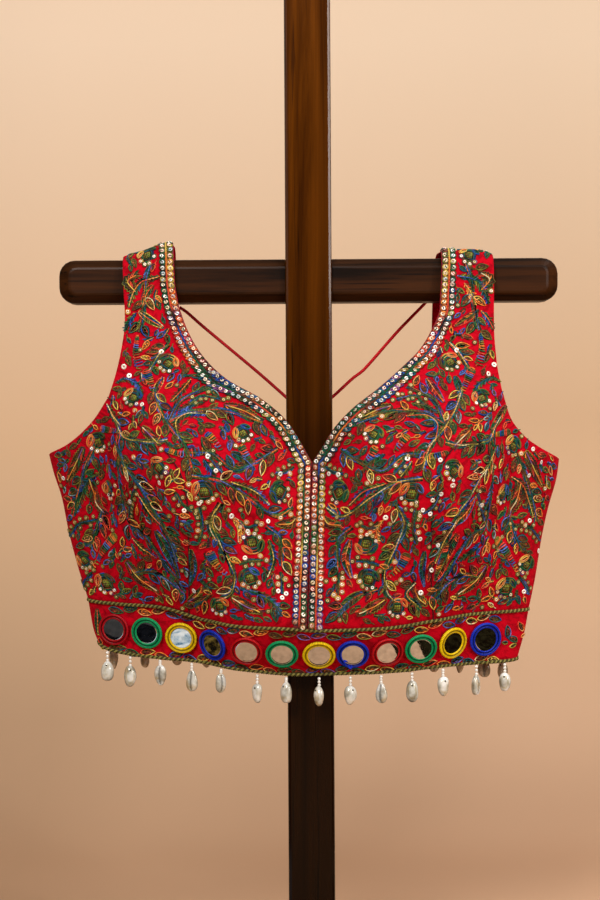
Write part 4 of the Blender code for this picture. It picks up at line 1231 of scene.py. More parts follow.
class Room:
    """Which cells of the front are free, sewn on or out of bounds."""

    def __init__(self):
        x = (np.arange(COLUMNS) + 0.5) * CELL + ROOM_LEFT
        height = (np.arange(ROWS) + 0.5) * CELL + LOWEST
        join = np.interp(x, [row[0] for row in JOIN_FRONT], [row[1] for row in JOIN_FRONT])
        allowed = np.zeros((ROWS, COLUMNS), bool)
        for side in SIDES:
            sign = SIGN[side]
            armhole = (ARMHOLE_TOP[side] + ARMHOLE_LOW[side][1:])[::-1]
            below = [(width * sign, level) for level, width in HALF_WIDTH[side] if level < armhole[0][1]]
            neck = (NECK_FRONT[side] + CENTRE_FRONT[1:])[::-1]
            neck_x, trim = line_and_margin(neck, height, TRIM_WIDTH + BESIDE_TRIM)
            outer_x, margin = line_and_margin(below + armhole, height, INSIDE_EDGE)
            allowed |= ((x * sign > neck_x * sign + trim) & (x * sign < outer_x * sign - margin)
                        & (height[:, None] > join + ABOVE_BAND))
        self.free = allowed
        self.allowed = allowed.copy()

    def cells(self, places):
        """Row and column of the cell of each place."""
        column = ((flat_x(places[:, 0], places[:, 1]) - ROOM_LEFT) / CELL).astype(int)
        row = ((places[:, 1] - LOWEST) / CELL).astype(int)
        return np.clip(row, 0, ROWS - 1), np.clip(column, 0, COLUMNS - 1)

    def is_free(self, places, share=0.9, inside=1.0):
        """Whether these shares of the places are free, and inside the bounds."""
        row, column = self.cells(places)
        return self.free[row, column].mean() >= share and self.allowed[row, column].mean() >= inside

    def take(self, places, spread=1):
        """Mark the places' cells, and `spread` cells round them, as sewn on."""
        row, column = self.cells(places)
        for down in range(-spread, spread + 1):
            for aside in range(-spread, spread + 1):
                self.free[np.clip(row + down, 0, ROWS - 1), np.clip(column + aside, 0, COLUMNS - 1)] = False


room = Room()
front = Sewing()


# ---- motifs ----
def leaf_outline(length, width, bend, count=8):
    """Local points round a pointed leaf from its foot to its tip and back."""
    t = np.linspace(0, 1, count)
    half = width / 2 * np.sin(np.pi * t ** 0.82) ** 0.85
    middle = bend * length * (t ** 2)
    up = np.stack([t * length, middle + half], axis=1)
    down = np.stack([t * length, middle - half], axis=1)[::-1]
    return np.vstack([up[:-1], down[:-1]]), t, half, middle


def ribbon(grid, domes, tones):
    """A satin patch whose columns each have one height and one tone."""
    tones = np.broadcast_to(tones, (len(domes), 3))
    front.patch(grid, np.tile(domes, (len(grid), 1)), np.tile(tones, (len(grid), 1)))


def filled(spot, t, half, middle, length, colour, reach=1.0, rise=0.4):
    """A domed patch of stitches inside a leaf, a little wider than its outline so that a painted shadow edges it."""
    cross = np.array([-1.0, -0.5, 0.0, 0.5, 1.0]) * reach
    t, half, middle = t[1:-1, None], half[1:-1, None], middle[1:-1, None]
    grid = np.stack(np.broadcast_arrays(t * length, middle + half * cross), axis=2)
    grid[0, :, 0] -= length * 0.03
    grid[-1, :, 0] += length * 0.05
    # painted shadow: the columns darken toward the edges, and the middle is lighter
    tones = np.array(colour) * np.array([0.12, 0.7, 1.2, 0.7, 0.12])[:, None]
    ribbon(spot.places(grid), rise * (1 - np.abs(cross / reach) ** 2.4) + 0.02, tones)


def leaf(spot, length, width, bend=0.0, names=None, fill=None, vein=False, force=False, share=0.8, reach=1.5):
    """A leaf of rows of stitches, with a bright chain-stitched outline; False where there is no room."""
    outline, t, half, middle = leaf_outline(length, width, bend)
    rim = spot.places(outline)
    spine = np.stack([t * length, middle], axis=1)
    core = spot.places(spine)
    far = outline[:, 0] > min(4.2, 0.45 * length)
    if not force and not room.is_free(np.vstack([rim[far], core[t * length > 3.6]]), share, 0.97):
        return False
    room.take(rim, 1)
    room.take(core, 1)
    names = names or leaf_yarn()
    if fill is not None:
        filled(spot, t, half, middle, length, fill, reach, 0.3)
    # painted highlight and shade, alternating along the outline's stitches
    colours = yarn(outline, names, 13.0) * (1.2 + 0.4 * np.cos(np.arange(len(outline)) * 2.1))[:, None]
    front.thread(rim, colours, 0.5, 0.62, closed=True)
    if length > 7:
        sides = [np.stack([t * length, middle + half * away], axis=1)[2:-2] for away in (0.42, -0.42)]
        inner = np.vstack([sides[0], sides[1][::-1]])
        # painted light and shade on alternate stitches
        light = np.where(np.arange(len(inner)) % 2, 0.25, 1.3)[:, None]
        tones = yarn(inner, EARTHY, 4) if dice.uniform() < 0.8 else colours[:len(inner)]
        front.thread(spot.places(inner), tones * light, 0.42, 0.5, closed=True)
    elif vein:
        front.thread(core[:-2], yarn(spine[:-2], names, 10), 0.4, 0.6)
    return True


def smooth_path(points, step=1.0):
    """Places every `step` mm of cloth along a smooth route through (x, height) points, and the mm to each."""
    points = np.asarray(points, dtype=float)
    places = to_stations(along(points, max(8, int(run_of(points)[-1] / 2))))
    run = run_of(cloth_frame("front", places[:, 0], places[:, 1])[0])
    at = np.linspace(0, run[-1], max(3, int(run[-1] / step) + 1))
    return read_along(at, run, places), at


def headings(places):
    """Heading in radians at each place of a path, in the cloth's own plane."""
    wide, tall = metric_at(places)
    step = np.gradient(places, axis=0)
    return np.arctan2(step[:, 1] * tall, step[:, 0] * wide)


def moved(places, heading, aside, forward):
    """Places moved aside and forward by mm, where forward is along a heading."""
    wide, tall = metric_at(places)
    across, rise = turned_by(forward, aside, heading)
    return places + np.stack([across / wide, rise / tall], axis=1)


def beside(places, aside, forward=0.0):
    """Places moved aside and forward of their path by mm."""
    return moved(places, headings(places), aside, forward)


def chain(places, run, names=COOL, period=9.0, radius=0.55, lift=0.5, start=None):
    """A chain-stitched line: a thread that swells, with painted shade between its stitches and painted highlight on
    them.
    """
    beat = np.cos(run * math.tau / 3.0)
    start = dice.uniform(0, len(names)) if start is None else start
    # painted highlight and shade: brighter where each stitch swells, darker between stitches
    colours = variegated(names, start, run, period) * (1.05 + 0.45 * beat)[:, None]
    front.thread(places, colours, radius * (1 + 0.18 * beat), lift)
    room.take(places, 0)


def slanted(foot, sign, reach, ahead, steps):
    """Short stitches from a path outward to one side, with `steps` of (share of reach, share of ahead)."""
    rows = [beside(foot, sign * (reach[0] + reach[1] * out), ahead * forward) for out, forward in steps]
    return np.stack(rows, axis=1)


def barbs(places, run, names, reach=2.8, pitch=1.8, first=2.0):
    """Short slanting stitches on each side of a stem, in runs of colour and of length."""
    at = np.arange(first, run[-1] - 1.5, pitch)
    foot = read_along(at, run, places)
    start = dice.uniform(0, len(names))
    for sign in (-1, 1):
        colours = variegated(names, start + sign, at, 5)
        length = reach * (0.72 + 0.34 * np.sin(at / 3.7 + start + sign))
        stitches = slanted(foot, sign, (0.7, length), length, ((0.0, 0.0), (0.45, 0.65), (0.8, 1.35)))
        for number, (stitch, colour) in enumerate(zip(stitches, colours)):
            if dice.uniform() < 0.86:
                light = (1.45, 0.6, 1.0)[number % 3]
                front.thread(stitch, colour * light, (0.5, 0.48, 0.34), (0.3, 0.5, 0.3))


def stem(places, run, names=COOL, thick=True):
    """A stem: chain-stitched lines side by side over a dark ribbon of painted shadow, with barbs each side."""
    start = dice.uniform(0, len(names))
    ground, half = places[::2], 2.3 if thick else 1.5
    rows = [beside(ground, -half), ground, beside(ground, half)]
    ribbon(np.stack(rows, axis=1), (0.02, 0.12, 0.02), SHADE_UNDERLAY)
    if thick:
        chain(beside(places, 0.85), run, names, start=start, radius=0.5, lift=0.4)
        second = EARTHY if dice.uniform() < 0.35 else names
        chain(beside(places, -0.85), run, second, start=start + 1.7, radius=0.5, lift=0.4)
        chain(places, run, (PALE, LOOPED, names, COOL)[dice.integers(4)], radius=0.46, lift=0.8)
        barbs(places, run, names)
    else:
        chain(beside(places, 0.45), run, names, radius=0.46, start=start)
        chain(beside(places, -0.5), run, COOL, radius=0.44, start=start + 2)
        barbs(places, run, COOL, 1.9, 1.9, 1.2)


def big_leaf(places, half, shares, domes, tones):
    """The ground of a big leaf: a ribbon along its vein, as wide as the shares of its half width."""
    rows = [beside(places, half * share) for share in shares]
    room.take(np.concatenate(rows), 1)
    ribbon(np.stack(rows, axis=1)[1:-1], domes, tones)


def feather(points, width, names=COOL, base=None, pitch=1.75, period=6.0):
    """A big leaf of slanting stitches each side of a raised vein: a fern, or edged with a bright thread."""
    places, run = smooth_path(points, 1.5)
    edged = dice.uniform() < 0.35
    t = run / run[-1]
    half = width / 2 * np.sin(np.pi * np.clip(t * 0.96 + 0.03, 0, 1) ** 0.8) ** 0.7
    # painted shade: the ground darkens toward its edges, and again along its middle under the vein
    tones = np.array(EARTHS[4] if base is None else base) * np.array([0.15, 0.8, 0.4, 0.8, 0.15])[:, None]
    shares = np.array((-1, -0.5, 0, 0.5, 1)) * (1.1 if edged else 0.7)
    big_leaf(places, half, shares, (0.02, 0.16, 0.2, 0.16, 0.02), tones)
    start = dice.uniform(0, len(names))
    at = np.arange(1.0, run[-1] - 1.0, pitch)
    foot = read_along(at, run, places)
    reach = np.interp(at, run, half)
    shades = names if edged and dice.uniform() < 0.5 else EARTHY if edged else names
    for sign in (-1, 1):
        colours = variegated(shades, start + sign, at, period)
        long = reach * (0.94 if edged else 1.0 + 0.28 * np.sin(at * 2.3 + start))
        stitches = slanted(foot, sign, (0, long), long, ((0.08, 0.0), (0.5, 0.45), (1.0, 0.85)))
        for number, (stitch, colour) in enumerate(zip(stitches, colours)):
            light = (1.8, 0.45, 1.15)[(number + (sign > 0)) % 3]
            front.thread(stitch, colour * light, (0.5, 0.5, 0.4), (0.4, 0.6, 0.35))
    if edged:
        edge_names = leaf_yarn()
        for sign in (-1, 1):
            chain(beside(places, half * sign)[:-1], run[:-1], edge_names, radius=0.46, lift=0.5)
    chain(places[:-1], run[:-1], (PALE, COOL, WARM, names, names)[dice.integers(5)], radius=0.5, lift=0.8)


def serrated(points, width, base, names=("cream", "lilac", "yellow", "orange")):
    """A long olive leaf with a toothed edge and a pale vein."""
    places, run = smooth_path(points, 1.3)
    t = run / run[-1]
    half = width / 2 * np.sin(np.pi * np.clip(t * 0.95 + 0.03, 0, 1) ** 0.75) ** 0.75
    teeth = half * (1 + 0.18 * np.where(np.arange(len(run)) % 2, 1, -1))
    big_leaf(places, half, (-0.96, -0.45, 0, 0.45, 0.96), (0.02, 0.25, 0.34, 0.25, 0.02), base)
    rim = np.vstack([beside(places, teeth)[:-1], beside(places, -teeth)[:0:-1]])
    tones = variegated(("olive", "lime", "forest", "brown"), dice.uniform(0, 4), np.arange(len(rim)) * 1.3, 9)
    front.thread(rim, tones * 1.3, 0.46, 0.42, closed=True)
    barbs(places[1:], run[1:], EARTHY, width * 0.36, 1.9)
    front.thread(places[1:-2], variegated(names, dice.uniform(0, 4), run[1:-2], 11) * 1.1, 0.54, 0.8)


def caterpillar(points, start_width, end_width, names=COOL):
    """Loops of thread side by side along a route: close at first, and opening as a ladder."""
    places, run = smooth_path(points, 1.0)
    at, turns = [0.0], [0.0]
    while at[-1] < run[-1]:
        at.append(at[-1] + (1.5 + 1.7 * at[-1] / run[-1]) / 10)
        turns.append(turns[-1] + 0.1)
    at, phase = np.array(at[:-1]), np.array(turns[:-1]) * math.tau
    t = at / run[-1]
    ease = t * t * (3 - 2 * t)
    half = (start_width * (1 - ease) + end_width * ease) / 2 * np.minimum(1, 0.45 + np.minimum(t, 1 - t) * 7)
    heading = np.interp(at, run, np.unwrap(headings(places)))
    loops = moved(read_along(at, run, places), heading, half * np.sin(phase), 0.8 * np.cos(phase))
    shades = variegated(LOOPED, dice.uniform(0, 9), at, 3.4 if names is COOL else 2.6)
    front.thread(loops, shades * 1.15, 0.48, 0.55 + 0.35 * (np.cos(phase) > 0))
    # a dark ribbon of painted shadow under the close loops
    under = places[:max(3, int(len(places) * 0.5))]
    widths = start_width / 2 * np.minimum(1, 0.4 + np.linspace(0, 4, len(under)))
    rows = [beside(under, widths * share) for share in (-0.8, -0.4, 0, 0.4, 0.8)]
    ribbon(np.stack(rows, axis=1), (0.02, 0.1, 0.12, 0.1, 0.02), SHADE_UNDERLAY)
    edges = beside(places, start_width * 0.4), beside(places, -end_width * 0.4)
    room.take(np.concatenate([edges[0], places, edges[1]]), 1)


PEARL = linear(240, 220, 190)
GOLD = linear(196, 172, 104)
WHITE = linear(255, 252, 244)
DULL = linear(200, 178, 118)
DULL_RINGS = ("olive", "brown", "lime", "olive", "green")
BRIGHT_RINGS = ("orange", "yellow", "coral", "lime", "peach")
LOOP = np.linspace(0, math.tau, 9, endpoint=False)


def sequin(place, radius=1.7, colour=PEARL, ring=None, lean=0.14):
    """A sequin, with or without a ring of thread round it."""
    tilt = np.array([*dice.normal(0, lean, 2), 0.1])
    front.sequin(place, radius, np.array(colour) * dice.uniform(0.85, 1.1), tilt)
    spot = spot_at(place, 0)
    round_it = np.stack([np.cos(LOOP), np.sin(LOOP)], axis=1)
    if ring is not None:
        tones = variegated(ring, dice.uniform(0, 9), LOOP * 2, 9) * 1.1
        front.thread(spot.places(round_it * (radius + 0.55)), tones, 0.46, 0.55, closed=True)
    room.take(spot.places(round_it * (radius + 0.3)), 1)


def berry(place, bright):
    """One sequin of a spray: bright and bare, ringed and bright, or dull in an olive ring."""
    roll = dice.uniform()
    if roll < bright * 0.35:
        sequin(place, 2.1, WHITE, None, 0.16)
    elif roll < bright:
        sequin(place, 1.6, PEARL, BRIGHT_RINGS)
    else:
        sequin(place, 1.4, DULL if roll > 0.5 else GOLD, DULL_RINGS)


def sprig(points, pitch=6.2, names=COOL, bright=0.2):
    """A curved stem with sequins each side and one at its tip."""
    places, run = smooth_path(points, 1.2)
    stem(places, run, names, thick=False)
    foot = read_along(np.arange(3.6, run[-1] - 1.5, pitch), run, places)
    if len(foot) > 1:
        first = dice.choice([-1, 1])
        for place in [*beside(foot, first * 3.4, 0.8), *beside(foot, -first * 3.4, 2.8)[::2]]:
            berry(place, bright)
    berry(beside(places[-2:], 0, 3.0)[-1], bright)


def direction(angle):
    """The 2-D direction at an angle in radians."""
    return np.array([math.cos(angle), math.sin(angle)])


def flower_eye(spot, side):
    """The olive diamond in the middle of a flower, with two dark threads round it."""
    u, v = np.meshgrid(np.linspace(-1, 1, 5), np.linspace(-1, 1, 5))
    bulge = 1 + 0.12 * (1 - np.abs(u)) * (1 - np.abs(v))
    places = spot.places(np.stack([u * side * bulge, v * side * bulge], axis=2))
    # painted light on one half of the diamond, and painted shade in a fold across it
    shade = np.where((u + v > 0.3)[..., None], linear(128, 138, 42), linear(98, 106, 30))
    shade = np.where((np.abs(u - v) < 0.3)[..., None] & (u < 0.3)[..., None], linear(60, 62, 20), shade)
    front.patch(places, 0.8 * (1 - u ** 4) * (1 - v ** 4) + 0.02, shade.reshape(-1, 3))
    room.take(places.reshape(-1, 2), 2)
    rim = np.array([(-1, -1), (0, -1.1), (1, -1), (1.1, 0), (1, 1), (0, 1.1), (-1, 1), (-1.1, 0)]) * side
    rim = np.vstack([rim[i] * (1 - s) + rim[(i + 1) % 8] * s for i in range(8) for s in (0, 0.5)])
    for reach, names, lift in ((1.16, ("green", "forest", "teal", "green"), 0.6),
                               (1.5, ("forest", "night", "green", "navy"), 0.4)):
        front.thread(spot.places(rim * reach), yarn(rim, names, 9), 0.68, lift, closed=True)
    room.take(spot.places(rim * 1.5), 1)


def petal_at(spot, angle, names, length, width, away):
    """A filled petal with a bright thread round it and another inside."""
    t = np.linspace(0, 1, 8)
    half = width / 2 * np.sin(np.pi * t) ** 0.6
    lean = angle + math.pi / 2
    foot = direction(angle) * away - direction(lean) * length / 2
    petal = spot_at(spot.places([foot])[0], spot.heading + lean)
    tone = SHADES[names[dice.integers(len(names))]]
    filled(petal, t, half, 0 * t, length, np.array(tone) * 0.55, 1.1, 0.5)
    rounded = np.vstack([np.stack([t * length, half], axis=1)[:-1],
                         np.stack([t * length, -half], axis=1)[:0:-1]])
    colours = yarn(rounded, names, 9)
    front.thread(petal.places(rounded), colours, 0.66, 0.7, closed=True)
    middle = np.array([length / 2, 0])
    inner = middle + (rounded - middle) * (0.78, 0.5)
    front.thread(petal.places(inner), np.roll(colours, 4, axis=0) * 1.1, 0.55, 0.95, closed=True)
    room.take(petal.places(rounded), 1)


def flower(x, height, heading, size=1.0, petal=WARM, cup=COOL, bright=0.5):
    """An olive diamond with filled petals, arched bands and an arc of sequins."""
    spot = Spot(x, height, heading)
    side = 3.5 * size
    flower_eye(spot, side)
    for turn, names, length, width, away in ((150, petal, 11.0, 5.2, 6.9), (42, cup, 10.0, 4.6, 6.9)):
        petal_at(spot, math.radians(turn), names, length * size, width * size, away * size)
    angle = np.linspace(math.radians(62), math.radians(128), 9)
    for reach, names in ((1.75, cup), (2.1, ("forest", "night", "navy", "green")), (2.45, cup)):
        arc = np.stack([np.cos(angle), np.sin(angle)], axis=1) * side * reach
        front.thread(spot.places(arc), yarn(arc, names, 7), 0.66, 0.5)
        room.take(spot.places(arc), 1)
    for turn in (205, 242, 279, 316):
        place = spot.places([direction(math.radians(turn + dice.uniform(-5, 5))) * side * 2.2])[0]
        kind = dice.uniform()
        ring = (BRIGHT_RINGS, DULL_RINGS, ("plum", "coral", "lilac"), BRIGHT_RINGS)[dice.integers(4)]
        sequin(place, 1.5, WHITE if kind < bright * 0.7 else PEARL if kind < 0.75 else DULL, ring)


# ---- layout of the embroidery: the left half, which the right half mirrors ----
FLOWERS = [  # x, height, heading in degrees, size, petal, cup
    (-139, 619, 10, 0.95, "WARM", "COOL"), (-120, 528, -35, 1.0, "COOL", "WARM"),
    (-149, 499, -20, 1.0, "WARM", "COOL"), (-181, 462, 20, 1.05, "WARM", "COOL"),
    (-56, 468, 30, 0.9, "WARM", "COOL"), (-125, 440, 45, 1.0, "COOL", "WARM"),
    (-171, 421, 10, 1.0, "WARM", "COOL"), (-88, 420, 5, 1.1, "WARM", "COOL"),
    (-26, 419, 60, 1.1, "COOL", "COOL"), (-49, 377, 190, 1.1, "COOL", "WARM"),
    (-51, 347, 15, 1.0, "COOL", "COOL"), (-76, 323, 0, 1.0, "COOL", "WARM"),
    (-195, 360, 30, 0.95, "WARM", "COOL"), (-176, 340, 5, 1.1, "WARM", "COOL"),
]
VINES = [
    [(-136, 612), (-140, 600), (-141, 584), (-143, 569), (-146, 556)],
    [(-131, 506), (-127, 492), (-118, 475), (-104, 458), (-98, 440)],
    [(-118, 478), (-109, 495), (-84, 508)],
    [(-117, 478), (-98, 487), (-75, 488), (-40, 477)],
    [(-168, 486), (-163, 478), (-155, 465), (-131, 461), (-118, 463)],
    [(-164, 462), (-154, 442), (-142, 425), (-132, 407), (-119, 383), (-111, 362)],
    [(-162, 447), (-158, 408), (-153, 392), (-139, 384), (-120, 355), (-106, 334)],
    [(-98, 433), (-78, 430), (-53, 416), (-37, 403), (-28, 399), (-15, 406)],
    [(-37, 391), (-25, 379), (-24, 357)],
    [(-75, 411), (-82, 396), (-75, 376), (-67, 359), (-64, 349), (-67, 335), (-78, 328)],
    [(-59, 339), (-42, 333), (-29, 323), (-24, 315)],
    [(-185, 456), (-192, 440), (-200, 415), (-204, 398)],
    [(-178, 405), (-182, 388), (-190, 372)],
    [(-28, 455), (-44, 445), (-62, 438), (-84, 452), (-100, 452)],
    [(-150, 350), (-136, 352), (-122, 346), (-108, 330)],
    [(-92, 345), (-84, 335), (-98, 322)],
    [(-120, 545), (-128, 536), (-136, 522)],
]
FEATHERS = [  # width, yarn, ground, route
    (8, "COOL", 4, [(-128, 603), (-143, 600), (-152, 588), (-155, 577)]),
    (7, "WARM", 5, [(-134, 597), (-140, 588), (-143, 578)]),
    (6, "COOL", 3, [(-146, 574), (-137, 567), (-124, 559)]),
    (6, "COOL", 3, [(-148, 573), (-154, 566), (-159, 556)]),
    (6, "COOL", 4, [(-124, 516), (-128, 508), (-131, 499)]),
    (7, "COOL", 3, [(-100, 514), (-108, 504), (-117, 494)]),
    (6, "COOL", 4, [(-165, 512), (-156, 515), (-146, 510), (-140, 500)]),
    (7, "COOL", 3, [(-172, 494), (-166, 484), (-158, 474)]),
    (8, "COOL", 4, [(-84, 484), (-100, 485), (-112, 477), (-109, 462)]),
    (7, "COOL", 3, [(-88, 494), (-100, 492), (-112, 486)]),
    (8, "COOL", 4, [(-181, 436), (-190, 429), (-196, 415), (-201, 400)]),
    (8, "COOL", 4, [(-161, 440), (-159, 421), (-151, 404)]),
    (9, "COOL", 3, [(-129, 388), (-120, 371), (-110, 346)]),
    (8, "COOL", 4, [(-79, 406), (-84, 392), (-78, 378)]),
    (7, "COOL", 4, [(-35, 380), (-31, 364), (-37, 346)]),
    (7, "COOL", 3, [(-89, 447), (-84, 440), (-78, 433)]),
    (8, "COOL", 4, [(-46, 336), (-32, 326), (-23, 314)]),
    (7, "COOL", 4, [(-66, 452), (-54, 446), (-46, 436)]),
    (7, "COOL", 3, [(-66, 428), (-48, 421), (-34, 408)]),
    (8, "COOL", 4, [(-143, 418), (-133, 402), (-124, 392)]),
    (6, "COOL", 3, [(-100, 372), (-98, 356), (-102, 340)]),
    (7, "COOL", 4, [(-150, 380), (-140, 370), (-128, 364)]),
    (6, "WARM", 5, [(-64, 398), (-58, 388), (-60, 376)]),
]
SERRATED = [  # width, ground, route
    (9, 3, [(-193, 458), (-200, 444), (-209, 428)]),
    (10, 5, [(-189, 432), (-185, 415), (-176, 399)]),
    (10, 2, [(-157, 361), (-147, 347), (-128, 334)]),
    (9, 0, [(-66, 331), (-54, 323), (-40, 317)]),
    (9, 3, [(-72, 492), (-56, 487), (-40, 478)]),
    (8, 5, [(-140, 474), (-133, 467), (-124, 458)]),
    (8, 1, [(-104, 326), (-96, 331), (-90, 340)]),
    (8, 0, [(-12, 398), (-18, 392), (-30, 392)]),
    (9, 4, [(-148, 590), (-156, 600), (-146, 606)]),
]
CATERPILLARS = [  # first and last width, yarn, route
    (3.0, 8.5, "COOL", [(-147, 553), (-148, 540), (-144, 524)]),
    (8.5, 4.5, "WARM", [(-139, 523), (-135, 513), (-131, 503)]),
    (4.0, 8.0, "WARM", [(-120, 455), (-105, 451), (-89, 454)]),
    (7.0, 4.0, "WARM", [(-86, 468), (-80, 462), (-74, 454)]),
    (8.0, 3.5, "COOL", [(-165, 383), (-175, 372), (-187, 353)]),
    (9.5, 3.5, "COOL", [(-85, 370), (-78, 358), (-68, 349)]),
    (7.0, 4.0, "COOL", [(-58, 458), (-52, 448), (-46, 442)]),
    (6.0, 3.0, "COOL", [(-178, 474), (-168, 472), (-158, 470)]),
]
SPRIGS = [  # share of bright sequins, route
    (0.1, [(-101, 493), (-90, 500), (-75, 497)]),
    (0.0, [(-208, 381), (-198, 392), (-182, 395)]),
    (0.0, [(-153, 398), (-150, 410), (-146, 422)]),
    (0.3, [(-93, 378), (-90, 392), (-92, 408)]),
    (0.2, [(-60, 359), (-50, 362), (-40, 362)]),
    (0.1, [(-198, 334), (-194, 342), (-188, 350)]),
    (0.9, [(-25, 352), (-24, 342), (-24, 333)]),
    (0.1, [(-73, 436), (-80, 444), (-84, 449)]),
    (0.4, [(-14, 440), (-22, 436), (-30, 434)]),
    (0.2, [(-112, 420), (-106, 410), (-98, 404)]),
    (0.6, [(-60, 396), (-52, 390), (-44, 392)]),
]
BRIGHT = [  # single bright sequins
    (-158, 526), (-153, 518), (-126, 538), (-85, 449), (-26, 434), (-98, 336), (-150, 412),
    (-124, 428), (-206, 372), (-66, 400),
]
YARNS = {"COOL": COOL, "WARM": WARM}


def flip(points):
    """Places of the left half's layout on the right half."""
    points = np.asarray(points, dtype=float)
    share = np.interp(points[:, 1], [480, 520], [0.955, 1.0])
    drop = np.interp(points[:, 1], [480, 520], [0.03, 0.0])
    return np.stack([-points[:, 0] * share, points[:, 1] + points[:, 0] * drop], axis=1)


trails = []
STEP = 1.2  # mm from row to row of a stem


def grown_leaf(x, height, heading, sizes, bend, names=None):
    """The largest leaf of these sizes that fits with its foot at a place; False where none does."""
    spot = Spot(x, height, heading)
    for size in sizes:
        length, width = size * dice.uniform(0.93, 1.07), size * dice.uniform(0.4, 0.48)
        if leaf(spot, length, width, bend, names or leaf_yarn(), EARTHS[dice.integers(len(EARTHS))],
                vein=dice.uniform() < 0.5):
            return True
    return False


def leaves_along(vine, sizes, spacing, ahead=(0.5, 0.95), names=None, out=0.9):
    """The number of leaves that grow on both sides of a stem of (x, height, heading) rows and at its tip."""
    grown = 0
    for at in range(2, len(vine) - 1, spacing):
        for sign in (-1, 1):
            x, height, heading = vine[min(len(vine) - 1, at + (spacing // 2 if sign > 0 else 0))]
            angle = heading + sign * dice.uniform(*ahead)
            foot = Spot(x, height, angle).places([(out, 0)])[0]
            grown += grown_leaf(flat_x(*foot), foot[1], angle, sizes, -sign * dice.uniform(0.04, 0.2), names)
    x, height, heading = vine[-1]
    for aside in (0.0, 0.75, -0.75):
        grown += grown_leaf(x, height, heading + aside + dice.uniform(-0.1, 0.1), sizes, -0.1 * aside, names)
    return grown


def branch(x, height, heading, curl, reach, names, sizes, spacing):
    """A leafy side branch that grows while there is room: its (x, height, heading) rows, or None."""
    place = to_stations([(x, height)])[0]
    rows, places = [], [place]
    for number in range(int(reach / STEP)):
        place = place + STEP * direction(heading) / metric_at(place[None])[:, 0]
        heading += curl * STEP
        if abs(place[0]) > 0.97 or not LOWEST < place[1] < 636:
            break
        if number > 2 and not room.is_free(place[None]):
            break
        places.append(place)
        rows.append((flat_x(*place), place[1], heading))
    if len(rows) < 4:
        return None
    same = names if dice.uniform() < 0.65 else None
    if leaves_along(rows, sizes, spacing, names=same) < (1 if len(rows) < 8 else 2):
        return None
    stem(np.array(places), np.arange(len(places)) * STEP, names, thick=False)
    return np.array(rows)


for side in SIDES:
    turn = np.asarray if side == "left" else flip
    for x, height, heading, size, petal, cup in FLOWERS:
        x, height = turn([(x, height)])[0]
        angle = math.radians(heading if side == "left" else -heading)
        flower(x, height, angle, size, YARNS[petal], YARNS[cup])
    for place in to_stations(turn(BRIGHT)):
        sequin(place, 2.4, WHITE, None, 0.2)
    for width, yarn_name, ground, route in FEATHERS:
        feather(turn(route), width, YARNS[yarn_name], None if yarn_name == "COOL" else EARTHS[ground])
    for width, ground, route in SERRATED:
        serrated(turn(route), width, EARTHS[ground])
    for first, last, yarn_name, route in CATERPILLARS:
        caterpillar(turn(route), first, last, YARNS[yarn_name])
    for bright, route in SPRIGS:
        sprig(turn(route), bright=bright)
    for route in VINES:
        places, run = smooth_path(turn(route), STEP)
        stem(places, run)
        trails.append(np.stack([flat_x(places[:, 0], places[:, 1]), places[:, 1], headings(places)], axis=1))

for vine in list(trails):
    leaves_along(vine, (13, 11.5, 10, 8.5), 5, (0.65, 1.05), out=1.6)

# leafy side branches, wherever the cloth is still bare beside a stem
for reach, tries in ((26, 110), (18, 260), (12, 420), (8, 500)):
    for _ in range(tries):
        vine = trails[dice.integers(len(trails))]
        x, height, heading = vine[dice.integers(2, len(vine))]
        sign = dice.choice([-1, 1])
        heading += sign * dice.uniform(0.5, 1.1)
        curl = -sign * dice.uniform(0.0, 0.035)
        grown = branch(x, height, heading, curl, reach, leaf_yarn(), (11.5, 10, 8.5, 7.2), 4)
        if grown is not None:
            trails.append(grown)

# what is still bare: small sprays that follow the nearest stem, then stalked leaves and a few sequins
trail = np.concatenate(trails)
for length, tries in ((9, 600), (6, 900), (0, 2600)):
    free = np.argwhere(room.free)
    for row, column in free[dice.integers(len(free), size=tries)]:
        if not room.free[row, column]:
            continue
        x, height = (column + 0.5) * CELL + ROOM_LEFT, (row + 0.5) * CELL + LOWEST
        near = np.argmin((trail[:, 0] - x) ** 2 + (trail[:, 1] - height) ** 2)
        angle = trail[near, 2] + dice.choice([-1, 1]) * dice.uniform(0.2, 0.9)
        names = leaf_yarn()
        if length:
            branch(x, height, angle, dice.uniform(-0.05, 0.05), length, names, (9.5, 8, 6.8), 3)
            continue
        place = to_stations([(x, height)])[0]
        if dice.uniform() < 0.05 and room.is_free(place[None]):
            berry(place, 0.4)
        elif grown_leaf(x, height, angle, (8.5, 7.2, 6), dice.uniform(-0.2, 0.2), names):
            stalk = Spot(x, height, angle).places([(-3.2, 0.5), (-1.6, 0.1), (0.2, 0)])
            front.thread(stalk, yarn(np.array([(0, 0), (2, 0), (4, 0)]), names), 0.42, 0.4)

# seams between the centre and side panels: a dark red line along each, as painted shade in the seam
for side in SIDES:
    places, _ = smooth_path(PRINCESS_TOP[side] + PRINCESS_LOW[side][1:], 1.5)
    front.thread(places, linear(70, 0, 12), 0.5, 0.0)


def dress(piece, slot, *nodes):
    """A piece that rides with the blouse, and the nodes that it stands for."""
    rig.ride(piece, "root")
    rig.slot(piece, slot)
    if nodes:
        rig.replaces(piece, *nodes)
    return piece


# ---- leaf chains on the band, above and below the mirrors ----
def band_station(x):
    """Station of an x on the waist band."""
    return station_of(np.array([x / HALF_WIDTH_AT_MIRRORS["left" if x < 0 else "right"]]))


